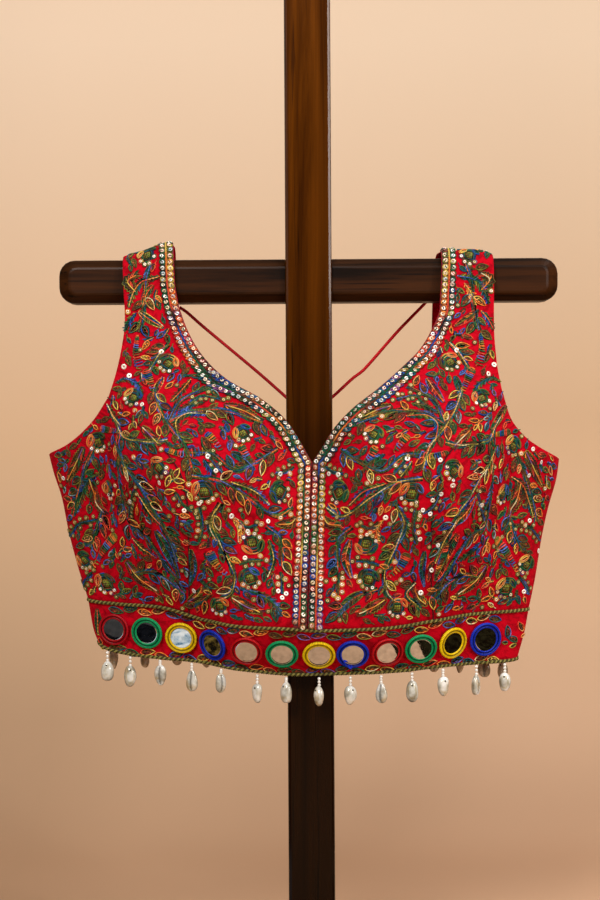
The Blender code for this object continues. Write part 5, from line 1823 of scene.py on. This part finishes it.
def band_leaves(offset, table, sign):
    """A row of looped leaves beside a seam of the band."""
    x, number = -174.0, 0
    while x < 160:
        station = band_station(x)[0]
        low, high = seam_height(table, [station, station + 0.02])
        height = low + offset
        wide, tall = metric_at(np.array([[station, height]]))[:, 0]
        tilt = (0.2 if number % 2 else -0.2) * sign
        names = LEAFY[(0, 4, 1, 5, 7, 4, 2, 6, 0, 5)[(number // 2) % 10]]
        spot = Spot(x, height, math.atan2((high - low) * tall, 0.02 * wide) + tilt)
        leaf(spot, 12.8, 5.6, 0.0, names, EARTHS[number % 3], force=True, reach=0.7)
        x = flat_x(*spot.places([(12.2, -12.2 * math.sin(tilt))])[0])
        number += 1


band_leaves(-5.0, JOIN_FRONT, 1)
band_leaves(4.6, HEM_FRONT, -1)
feather([(-183.6, 295), (-184.4, 319)], 6.5, ("forest", "green"), EARTHS[3])
for x, height, heading, length, width, names in (
        (-181.5, 286, 1.3, 7, 3.2, WARM), (-179.5, 282, 1.9, 5, 2.6, PALE),
        (170.5, 290, 1.75, 12.5, 5, LEAFY[1]), (178.5, 287, 2.5, 10, 4.4, LEAFY[0]),
        (183.5, 296, 2.0, 10, 4.2, WARM), (182, 291, 0.5, 5, 2.8, WARM),
        (172, 283, 0.2, 7, 3.4, PALE), (170, 286, 2.8, 5, 2.8, LEAFY[0])):
    leaf(Spot(x, height, heading), length, width, 0.1, names, EARTHS[3], force=True, reach=0.8)

PIECES = 6
for number in range(PIECES):
    first, last = (len(front.threads) * mark // PIECES for mark in (number, number + 1))
    dress(front.make_threads("embroidery_threads_%d" % (number + 1), THREAD, first, last), "yarn")
dress(front.make_patches("embroidery_satin", SATIN), "yarn")
dress(front.make_sequins("embroidery_sequins", SEQUIN), "trim")


# ---- trim of the neck and the centre front ----
PITCH = 5.1
SEQUIN_TONES = (PEARL, PEARL, WHITE, WHITE, linear(250, 208, 194), linear(206, 214, 216))


def strip_places(trim, at, run, share):
    """Places on a strip, `at` mm along its middle and at a share of its width."""
    columns = [read_along(at, run, trim[:, column]) for column in range(3)]
    share = np.broadcast_to(share, len(at))[:, None] * 2
    return np.where(share <= 1, columns[0] * (1 - share) + columns[1] * share,
                    columns[1] * (2 - share) + columns[2] * (share - 1))


def trim_sequin(sewing, on_strip, column, start, at):
    """A sequin in two loops of thread, held by two stitches."""
    colour = np.array(SHADES[RUN_ON[int(start + at / 21 + dice.uniform(0, 0.5)) % len(RUN_ON)]])
    other = np.array(SHADES[RUN_ON[dice.integers(len(RUN_ON))]])
    # painted shade: the outer loop is darkened, as in the gaps round each sequin
    for wide, tall, radius, lift, tone in (
            (2.6, 2.5, 0.5, 1.1, colour * dice.uniform(0.2, 0.7)),
            (2.15, 1.9, 0.55, 1.45, (colour * 2 + other) * dice.uniform(0.3, 0.6))):
        share = np.clip(column + wide * np.cos(LOOP) / TRIM_WIDTH, 0.01, 1.1)
        light = (1 + 0.5 * np.cos(LOOP * 2 + dice.uniform(0, 6)))[:, None]
        sewing.thread(on_strip(at + tall * np.sin(LOOP), share), tone * light, radius, lift, closed=True)
    place = on_strip(np.array([at + dice.normal(0, 0.2)]), column + dice.normal(0, 0.02))[0]
    way = dice.uniform(0, math.tau)
    stitch = np.array([0.0, 1.0, 2.1])
    for angle in (way, way + 2.4):
        held = on_strip(at + stitch * math.sin(angle), column + stitch * math.cos(angle) / TRIM_WIDTH)
        sewing.thread(held, other * 0.7, 0.32, (1.9, 2.5, 1.6))
    tone = np.array(SEQUIN_TONES[dice.integers(6)])
    lean = np.array([*dice.normal(0, 0.3, 2), 1.15])
    sewing.sequin(place, dice.uniform(1.65, 1.98), tone * dice.uniform(0.85, 1.2), lean)


for side in SIDES:
    trim = TRIMS[side]
    run = run_of(cloth_frame("front", trim[:, 1, 0], trim[:, 1, 1])[0])
    on_strip = lambda at, share: strip_places(trim, at, run, share)
    sewing = Sewing()
    rows = np.linspace(0, run[-1], int(run[-1] / 1.6))
    grid = np.stack([on_strip(rows, share) for share in np.linspace(0.02, 0.98, 9)], axis=1)
    piece = shell("trim_ground_" + side, "front", [grid], "neck_trim_" + side, 1.0, 2.0, THREAD_GROUND)
    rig.slot(piece, "trim")
    at = np.arange(0.5, run[-1] - 0.5, 0.9)
    for phase in (0, math.pi):
        wave = at * math.tau / 3.4 + phase
        sewing.thread(on_strip(at, 0.575 + 0.042 * np.sin(wave)), variegated(RUN_ON, 2.0, at, 17), 0.55,
                      1.35 + 0.35 * np.cos(wave))
    for column, start, first in ((0.29, 1.0, PITCH / 2), (0.86, 9.0, PITCH / 2 + 1.2)):
        for at in np.arange(first, run[-1] - 1.6, PITCH):
            trim_sequin(sewing, on_strip, column, start, at)
    dress(sewing.make_threads("trim_threads_" + side, THREAD), "trim")
    dress(sewing.make_sequins("trim_sequins_" + side, SEQUIN), "trim")


# ---- ropes ----
ROPE_COLOURS = (linear(152, 144, 72), linear(72, 66, 18))
ROPE_PITCH = 4.0
ROPE_STATIONS = 150
STRAND_STEPS = 8


def seam_route(front_table, back_table, lift):
    """Closed route round the blouse at a seam, on the cloth's middle, and its outward directions."""
    parts = []
    forward = share_to_station(np.linspace(-1, 1, ROPE_STATIONS))
    for face, table, stations in (("front", front_table, forward), ("back", back_table, forward[-2:0:-1])):
        point, _, _, outward = cloth_frame(face, stations, seam_height(table, stations) + lift)
        parts.append((point, outward))
    return (np.vstack(part) for part in zip(*parts))


def twisted(name, points, outward):
    """A rope of two strands on the cloth's face, drawn in at the side seams."""
    points = points + outward * (WALL / 2 + ROPE_RADIUS * 0.55) * (1 - 0.9 * np.abs(outward[:, :1]) ** 3)
    points, outward = np.vstack([points, points[:1]]), np.vstack([outward, outward[:1]])
    run = run_of(points)
    turns = round(run[-1] / ROPE_PITCH)
    at = np.linspace(0, run[-1], turns * STRAND_STEPS + 1)[:-1]
    centre, up = read_along(at, run, points), unit(read_along(at, run, outward))
    aside = np.cross(unit(np.roll(centre, -1, axis=0) - np.roll(centre, 1, axis=0)), up)
    radius = ROPE_RADIUS * 0.98
    runs = []
    for strand, colour in enumerate(ROPE_COLOURS):
        phase = (at / run[-1] * turns * math.tau + math.pi * strand)[:, None]
        line = centre + (aside * np.cos(phase) + up * np.sin(phase)) * radius * 0.5
        tone = np.array(colour) * (1 + 0.12 * np.sin(at / 7 + strand))[:, None]
        runs.append((line, up, radius * 0.56, tone, True))
    return tubes(name, runs, ROPE)


for name, front_table, back_table, lift, node in (
        ("band_rope_yarn", JOIN_FRONT, JOIN_BACK, 0, "band_rope"),
        ("hem_rope_yarn", HEM_FRONT, HEM_BACK, ROPE_RADIUS, "hem_fringe")):
    dress(twisted(name, *seam_route(front_table, back_table, lift)), "rope", node)


# ---- mirrors ----
YARN_COLOURS = {
    "maroon": linear(180, 0, 22), "red": linear(200, 0, 18), "green": linear(0, 166, 100),
    "yellow": linear(255, 216, 0), "blue": linear(10, 48, 196),
}
GLASS_LEAN = (0.02, 0.0, -0.02, 0.03, 0.09, 0.1, 0.1, 0.1, 0.09, 0.05, 0.0, 0.03)
# rings of a glass: (share of its radius, mm up)
GLASS_RINGS = ((0.4, 0.34), (0.88, 0.3), (0.9, 0.29), (0.925, 0.21), (1.0, 0.2), (1.0, -0.6))
RING_SIDES = 10


def spokes(normal, around):
    """Directions round a circle that faces along its normal."""
    side = unit(np.cross(normal, (0, 0, 1.0))[None])
    return circle(side, np.cross(normal, side), around)[0]


def wound_ring(centre, normal, radius, tube, colour, wraps, seed, shaded_side):
    """Points, faces, colours of a ring wound with yarn, with painted shade between its wraps and on the side toward
    the groove between the rings: 1 outer, -1 inner.
    """
    around = wraps * 3
    theta = math.tau * np.arange(around) / around
    phi = math.tau * np.arange(RING_SIDES) / RING_SIDES
    thick = tube * (1 + 0.075 * np.cos(theta * wraps)) * (1 + 0.03 * np.sin(theta * 5 + seed))
    ring = (spokes(normal, around)[:, None] * (radius + thick[:, None] * np.cos(phi))[:, :, None]
            + normal * (thick[:, None] * np.sin(phi))[:, :, None]) + centre
    # painted highlight and shade: each wrap lighter in its middle, darker where it meets the next
    shade = 0.95 + 0.08 * np.sin(theta * wraps / 3 + seed) + 0.28 * np.cos(theta * wraps)
    # painted shade on the side of the tube that faces the groove between the two rings
    groove_shade = 1 - 0.7 * np.clip(shaded_side * np.cos(phi) + 0.05, 0, 0.8) / 0.8
    rim = 1 - 0.6 * (np.cos(phi) > 0.55) * (shaded_side < 0) * (np.arange(around) % 3 == 1)[:, None]
    shade = (shade[:, None] * (groove_shade * rim)).reshape(-1, 1)
    return ring.reshape(-1, 3), torus_faces(around, RING_SIDES), np.array(colour) * shade


def glass_disc(centre, normal, radius, around=48):
    """Points and faces of a faintly domed disc with a ground edge."""
    spoke = spokes(normal, around) * radius
    rings = [centre + spoke * share + normal * rise for share, rise in GLASS_RINGS]
    index = 1 + np.arange(len(rings) * around).reshape(-1, around)
    fan = np.stack([np.zeros(around, int), index[0], np.roll(index[0], -1)], axis=1)
    points = np.vstack([centre + normal * 0.35, *rings])
    return points, [fan, round_faces(index), index[-1][::-1][None]]


def band_middle(x):
    """Station and height of the middle of the waist band at an x."""
    station = band_station(x)
    return station, (seam_height(JOIN_FRONT, station) + seam_height(HEM_FRONT, station)) / 2


for number, (x, diameter, colour) in enumerate(MIRRORS, start=1):
    tag = "%02d" % number
    station, height = band_middle(x)
    point, across, up, _ = cloth_frame("front", station, height)
    reach = diameter / 2 - RING_TUBE
    angles = np.linspace(0, math.tau, 24, endpoint=False)
    rim = cloth_point("front", station + reach * np.cos(angles) / np.linalg.norm(across),
                      height + reach * np.sin(angles) / np.linalg.norm(up))
    normal = np.cross(rim[0] - rim[12], rim[6] - rim[18])
    normal /= np.linalg.norm(normal)
    clear = max(0.0, float(((rim - point[0]) @ normal).max())) + WALL / 2
    centre = point[0] + normal * (clear + LAY + RING_TUBE)
    shade, half = np.array(YARN_COLOURS[colour]), diameter / 2
    outer = wound_ring(centre, normal, half - 1.3, 1.35, shade, 62, number, -1)
    inner = wound_ring(centre - normal * 0.1, normal, half - 3.7, 1.05, shade * 0.9, 50, number + 5, 1)
    points = np.vstack([outer[0], inner[0]])
    faces = np.vstack([outer[1], inner[1] + len(outer[0])])
    ring = new_mesh("ring_yarn_" + tag, points, [faces], RING_YARN, np.vstack([outer[2], inner[2]]))
    dress(ring, "yarn", "mirror_ring_" + tag)
    leaning = normal + (0, 0, GLASS_LEAN[number - 1])
    points, blocks = glass_disc(centre, leaning / np.linalg.norm(leaning), diameter / 2 - 4.0)
    disc = new_mesh("looking_glass_" + tag, points, blocks, GLASS)
    disc.data.set_sharp_from_angle(angle=math.radians(40))
    dress(disc, "looking_glass", "mirror_glass_" + tag)


# the knotted end of the yarn on the eighth ring
station, height = band_middle(MIRRORS[7][0])
middle, across, up, out = (part[0] for part in cloth_frame("front", station, height - 8.0))
across, up = across / np.linalg.norm(across), up / np.linalg.norm(up)
t = np.linspace(0, 1, 26)[:, None]
loop = (middle + across * (-5.5 + 6 * t - 2.2 * np.sin(t * 9.4))
        + up * (-1.0 + 4.4 * np.sin(t * 7.2) * (1 - 0.4 * t)) + out * (4.6 + 0.9 * np.sin(t * 12)))
run = (loop, np.broadcast_to(out, loop.shape), 0.85, YARN_COLOURS["blue"], False)
dress(tubes("ring_yarn_end", [run], RING_YARN, 8), "yarn")


# ---- cowries on their beads ----
def cowrie_mesh(centre, length, width, depth, turn, seed, shade):
    """A shell with a rounded back, a flatter face and a toothed slit; and the place of its drilled hole."""
    around, rows = 28, 21
    theta = math.tau * np.arange(around) / around
    v = np.linspace(0, math.pi, rows)[1:-1]
    t, p = np.meshgrid(theta, v)
    z = np.cos(p)
    girth = np.sin(p) ** 0.85 * (1 + 0.2 * (seed % 3 - 1) * z + 0.04 * np.sin(3.1 * z + seed))
    face = np.clip(np.cos(t), 0, 1)
    x = np.sin(t) * girth * width / 2
    y = -np.cos(t) * girth * depth / 2 * np.where(np.cos(t) > 0, 0.72, 1.15)
    slit = np.exp(-(x / 0.75) ** 2) * (face > 0) * (np.abs(z) < 0.86)
    teeth = np.exp(-((np.abs(x) - 1.1) / 0.6) ** 2) * (face > 0) * (np.abs(z) < 0.8)
    y = y + slit * 1.3 + teeth * 0.25 * np.sin(z * 24)
    # painted shade in the slit and between its teeth
    tint = np.ones(x.shape + (3,)) - slit[..., None] * 0.72 - (teeth * 0.14 * (np.sin(z * 24) < 0))[..., None]
    # painted shade on the shell's sides, where its surface turns away
    margin = np.clip((np.abs(np.sin(t)) - 0.72) / 0.28, 0, 1) * (1 - 0.4 * np.abs(z))
    ring = np.exp(-((np.hypot(2 * x / width, z) - 0.62) / 0.09) ** 2) * (np.cos(t) < 0)
    ring = ring * (0.25, 0.85, 0.45)[seed % 3]
    tint = tint * (1 - margin[..., None] * (0.34, 0.4, 0.5)) * (1 - ring[..., None] * (0.3, 0.42, 0.68))
    points = np.stack([x + 0.7 * math.sin(seed) * z ** 2, y, z * length / 2], axis=2).reshape(-1, 3)
    points = np.vstack([points, [(0, 0, length / 2), (0, 0, -length / 2)]])
    points = np.stack([*turned_by(points[:, 0], points[:, 1], turn), points[:, 2]], axis=1) + centre
    hole = 5 * around + around // 2 + seed % 3 - 1
    tint = np.vstack([tint.reshape(-1, 3), np.ones((2, 3))]) * shade
    return points, *ball_faces(rows - 2, around), tint, points[hole]


def ball(centre, radius, around=8, rows=6, shade=1.0):
    """Points, quads, caps and colours of a small ball."""
    t, p = np.meshgrid(math.tau * np.arange(around) / around, np.linspace(0, math.pi, rows + 1)[1:-1])
    points = np.stack([np.cos(t) * np.sin(p), np.sin(t) * np.sin(p), np.cos(p)], axis=2).reshape(-1, 3)
    points = np.vstack([points, [(0, 0, 1), (0, 0, -1)]]) * radius + centre
    return points, *ball_faces(rows - 1, around), np.full((len(points), 3), shade)


def gather(name, pieces, material):
    """One object from several (points, quads, triangles, colours)."""
    points, quads, caps, colours = zip(*pieces)
    starts = np.concatenate([[0], np.cumsum([len(block) for block in points])[:-1]])
    blocks = [np.concatenate([block + start for block, start in zip(faces, starts)])
              for faces in (quads, caps)]
    return new_mesh(name, np.concatenate(points), blocks, material, np.concatenate(colours))


shells, beads = [], []
rows = [("front", HEM_FRONT, (1, 1, 1), *row) for row in COWRIES_FRONT]
# painted shade: the back row's shells are a darker, browner copy of the front row's colour
rows += [("back", HEM_BACK, (0.75, 0.64, 0.52), *row) for row in COWRIES_BACK]
for number, (face, table, shade, x, drop) in enumerate(rows):
    end = table[0] if x < 0 else table[-1]
    station = station_of(np.array([x / abs(end[0])]))
    height = seam_height(table, station) + ROPE_RADIUS
    middle, _, _, out = cloth_frame(face, station, height)
    top = (middle + out * (WALL / 2 + LAY + ROPE_RADIUS))[0]
    length = COWRIE_THREAD + drop
    size = dice.uniform(0.93, 1.07, 3) * (COWRIE_LENGTH, COWRIE_WIDTH * 0.93, COWRIE_DEPTH)
    centre = top - (0, 0, length + COWRIE_LENGTH / 2)
    turn = dice.uniform(-1.15, 1.15) + (math.pi if dice.uniform() < 0.66 else 0)
    *shell_mesh, hole = cowrie_mesh(centre, *size, turn, number, shade)
    # a near-black ball stands for the drilled hole, as painted shade inside it
    shells += [shell_mesh, ball(hole, 0.8, shade=0.02)]
    for drop_mm in np.linspace(ROPE_RADIUS + 1.3, length - 0.6, 3):
        beads.append(ball(top - (0, 0, drop_mm), 1.45))
dress(gather("cowrie_shells", shells, COWRIE), "shell")
dress(gather("cowrie_beads", beads, BEAD), "shell")


# ---- tie cords behind the post ----
BACKWARD = (0.0, 1.0, 0.0)
# painted shade: the knot behind the post is a darker red than its cords
SHADED_KNOT_RED = linear(170, 10, 24)


def cord_run(points, radius, colour, closed=False):
    """One run for tubes, of a cord that hangs behind the post."""
    return points, np.broadcast_to(BACKWARD, points.shape), radius, colour, closed


cords = {}
# lit and shaded copies of one red: the left cord painted darker than the right
for side, table, colour in (("left", DORI_LEFT, linear(214, 10, 28)),
                            ("right", DORI_RIGHT, linear(255, 16, 38))):
    path = along(table, 40)
    cord = tubes("dori_cord_" + side, [cord_run(path, DORI_RADIUS * 1.4, colour)], DORI, 10)
    cords[side] = dress(cord, "dori", "dori_" + side), path * MM
phase = np.linspace(0, math.tau, 60, endpoint=False)
knot = np.stack([np.sin(phase) + 2 * np.sin(2 * phase), -np.sin(3 * phase) * 0.9,
                 np.cos(phase) - 2 * np.cos(2 * phase)], axis=1) * 0.95 + DORI_KNOT
runs = [cord_run(knot, DORI_RADIUS, SHADED_KNOT_RED, True)]
share = np.linspace(0, 1, 24)[:, None]
for x, height in KNOT_TAILS:
    end = np.array((x, DORI_KNOT[1] + 1, height))
    sag = np.sin(share * math.pi) * (0.0, 0.0, 2.0)
    runs.append(cord_run(np.array(DORI_KNOT) * (1 - share) + end * share - sag, DORI_RADIUS, SHADED_KNOT_RED))
dori_knot = dress(tubes("dori_knot_yarn", runs, DORI, 8), "dori", "dori_knot")
for side, (cord, path) in cords.items():
    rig.cord(cord, exit=tuple(path[0]), length=round(float(run_of(path)[-1]), 3), diameter=0.0028,
            far_end="knot", stiffness="limp", lay="taut", path=[tuple(place) for place in path],
            with_pieces=[dori_knot] if side == "left" else ())


# ---- what the cloth was cut to: piece, flat size, share of it that is the piece's own ----
for name, flat, share in (
        ("front_centre_left", (0.20, 0.37), 0.5), ("front_centre_right", (0.20, 0.37), 0.5),
        ("front_side_left", (0.16, 0.20), 0.75), ("front_side_right", (0.15, 0.20), 0.75),
        ("back", (0.46, 0.33), 0.5), ("band_front", (0.40, 0.055), 0.95), ("band_back", (0.40, 0.055), 0.95)):
    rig.sheet(bpy.data.objects["cloth_" + name], flat=flat, held="hung", rests_on=["stand_crossbar"],
             area=round(flat[0] * flat[1] * share, 4), with_pieces=[])


# ---- backdrop: one sweep of paper from the floor up ----
profile = [(-12.0, 0.0), (-8.0, 0.0)] + [(-4.0 + 0.25 * k, 0.0) for k in range(19)]
profile += [(0.5 + 0.5 * math.sin(a), 0.5 - 0.5 * math.cos(a)) for a in np.linspace(0, math.pi / 2, 19)[1:]]
profile += [(1.0, 0.5 + 0.25 * k) for k in range(1, 13)]
across = np.linspace(-3.5, 3.5, 29)
points = np.array([(x, y, z) for y, z in profile for x in across]) / MM
index = np.arange(len(points)).reshape(len(profile), len(across))
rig.stage(new_mesh("backdrop", points, [grid_faces(index)], BACKDROP))


# ---- matt cards beside the stand, just over the floor, which only reflections see ----
def dark_card(name, deep, pale, scale):
    """A matt card in two dark shades."""
    graph = Graph(name, Roughness=1.0, Specular_IOR_Level=0.0)
    clouds = graph.noise(graph.place(), scale, 3)
    return graph.finish(Base_Color=graph.ramp(clouds, (0.42, deep), (0.6, pale)))


def lit_card():
    """A card that glows in pale blue patches with no lamp of its own, seen only in reflections: a painted reflection
    of a lamp.
    """
    graph = Graph("lit card", Roughness=1.0, Specular_IOR_Level=0.0, Emission_Strength=1.0)
    tones = graph.ramp(graph.noise(graph.place(), 38, 3), (0.36, linear(90, 130, 160)),
                       (0.48, linear(196, 214, 226)), (0.6, linear(255, 255, 252)))
    return graph.finish(Base_Color=(0.0, 0.0, 0.0), Emission_Color=tones)


GREY_CARD = dark_card("grey card", linear(62, 62, 64), linear(70, 70, 72), 6)
BLACK_CARD = dark_card("black card", linear(8, 10, 14), linear(22, 24, 30), 30)
OLIVE_CARD = dark_card("olive card", linear(16, 14, 12), linear(128, 108, 52), 26)
BROWN_CARD = dark_card("brown card", linear(18, 12, 6), linear(38, 34, 20), 30)
CARD_LEVEL = 0.002
for name, low, high, material in (
        ("card_left_front", (-3.4, -3.5), (-0.42, -0.56), GREY_CARD),
        ("card_left_middle", (-3.4, -0.56), (-0.42, -0.3), BLACK_CARD),
        ("card_left_back", (-3.4, -0.3), (-0.42, 0.45), OLIVE_CARD),
        ("card_right", (0.45, -3.5), (3.4, 0.45), BROWN_CARD),
        ("card_right_near", (0.228, -0.3), (0.45, 0.0), BROWN_CARD),
        ("card_lit", (-0.42, -0.55), (-0.2, -0.22), lit_card())):
    corners = [low, (high[0], low[1]), high, (low[0], high[1])]
    points = np.array([(*corner, CARD_LEVEL) for corner in corners]) / MM
    flat = new_mesh(name, points, [np.array([[0, 1, 2, 3]])], material)
    flat.visible_camera = flat.visible_diffuse = flat.visible_shadow = flat.visible_transmission = False
    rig.stage(flat)


# ---- light: name, place, what it faces, size, watts ----
for name, place, target, size, watts in (
        ("key", (-0.7, -2.2, 2.0), (0, 0, 0.5), (0.9, 0.9), 50),
        ("fill", (1.5, -1.9, 1.2), (0, 0, 0.45), (1.0, 1.2), 15),
        ("strip_left", (-1.3, -1.3, 1.05), (0, 0, 0.75), (0.1, 0.7), 0.5),
        ("strip_right", (1.3, -1.3, 1.05), (0, 0, 0.75), (0.1, 0.7), 7),
        ("paper", (0.9, -0.6, 2.4), (0.4, 1.0, 0.8), (1.6, 0.8), 27.5)):
    light = bpy.data.lights.new(name, "AREA")
    light.shape = "RECTANGLE"
    light.size, light.size_y = size
    light.energy = watts
    light.color = (1.0, 0.97, 0.93)
    lamp = bpy.data.objects.new(name, light)
    lamp.location = place
    lamp.rotation_euler = (Vector(target) - Vector(place)).to_track_quat("-Z", "Y").to_euler()
    SCENE.collection.objects.link(lamp)
world = bpy.data.worlds.new("studio")
world.use_nodes = True
world.node_tree.nodes["Background"].inputs["Color"].default_value = (0.52, 0.48, 0.45, 1)
world.node_tree.nodes["Background"].inputs["Strength"].default_value = 0.14
SCENE.world = world

VISUAL_BOX = [list(corner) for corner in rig.bounds()]
with open("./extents.json", "w") as sizes:
    json.dump({"cad": CAD_BOX, "visual": VISUAL_BOX}, sizes)
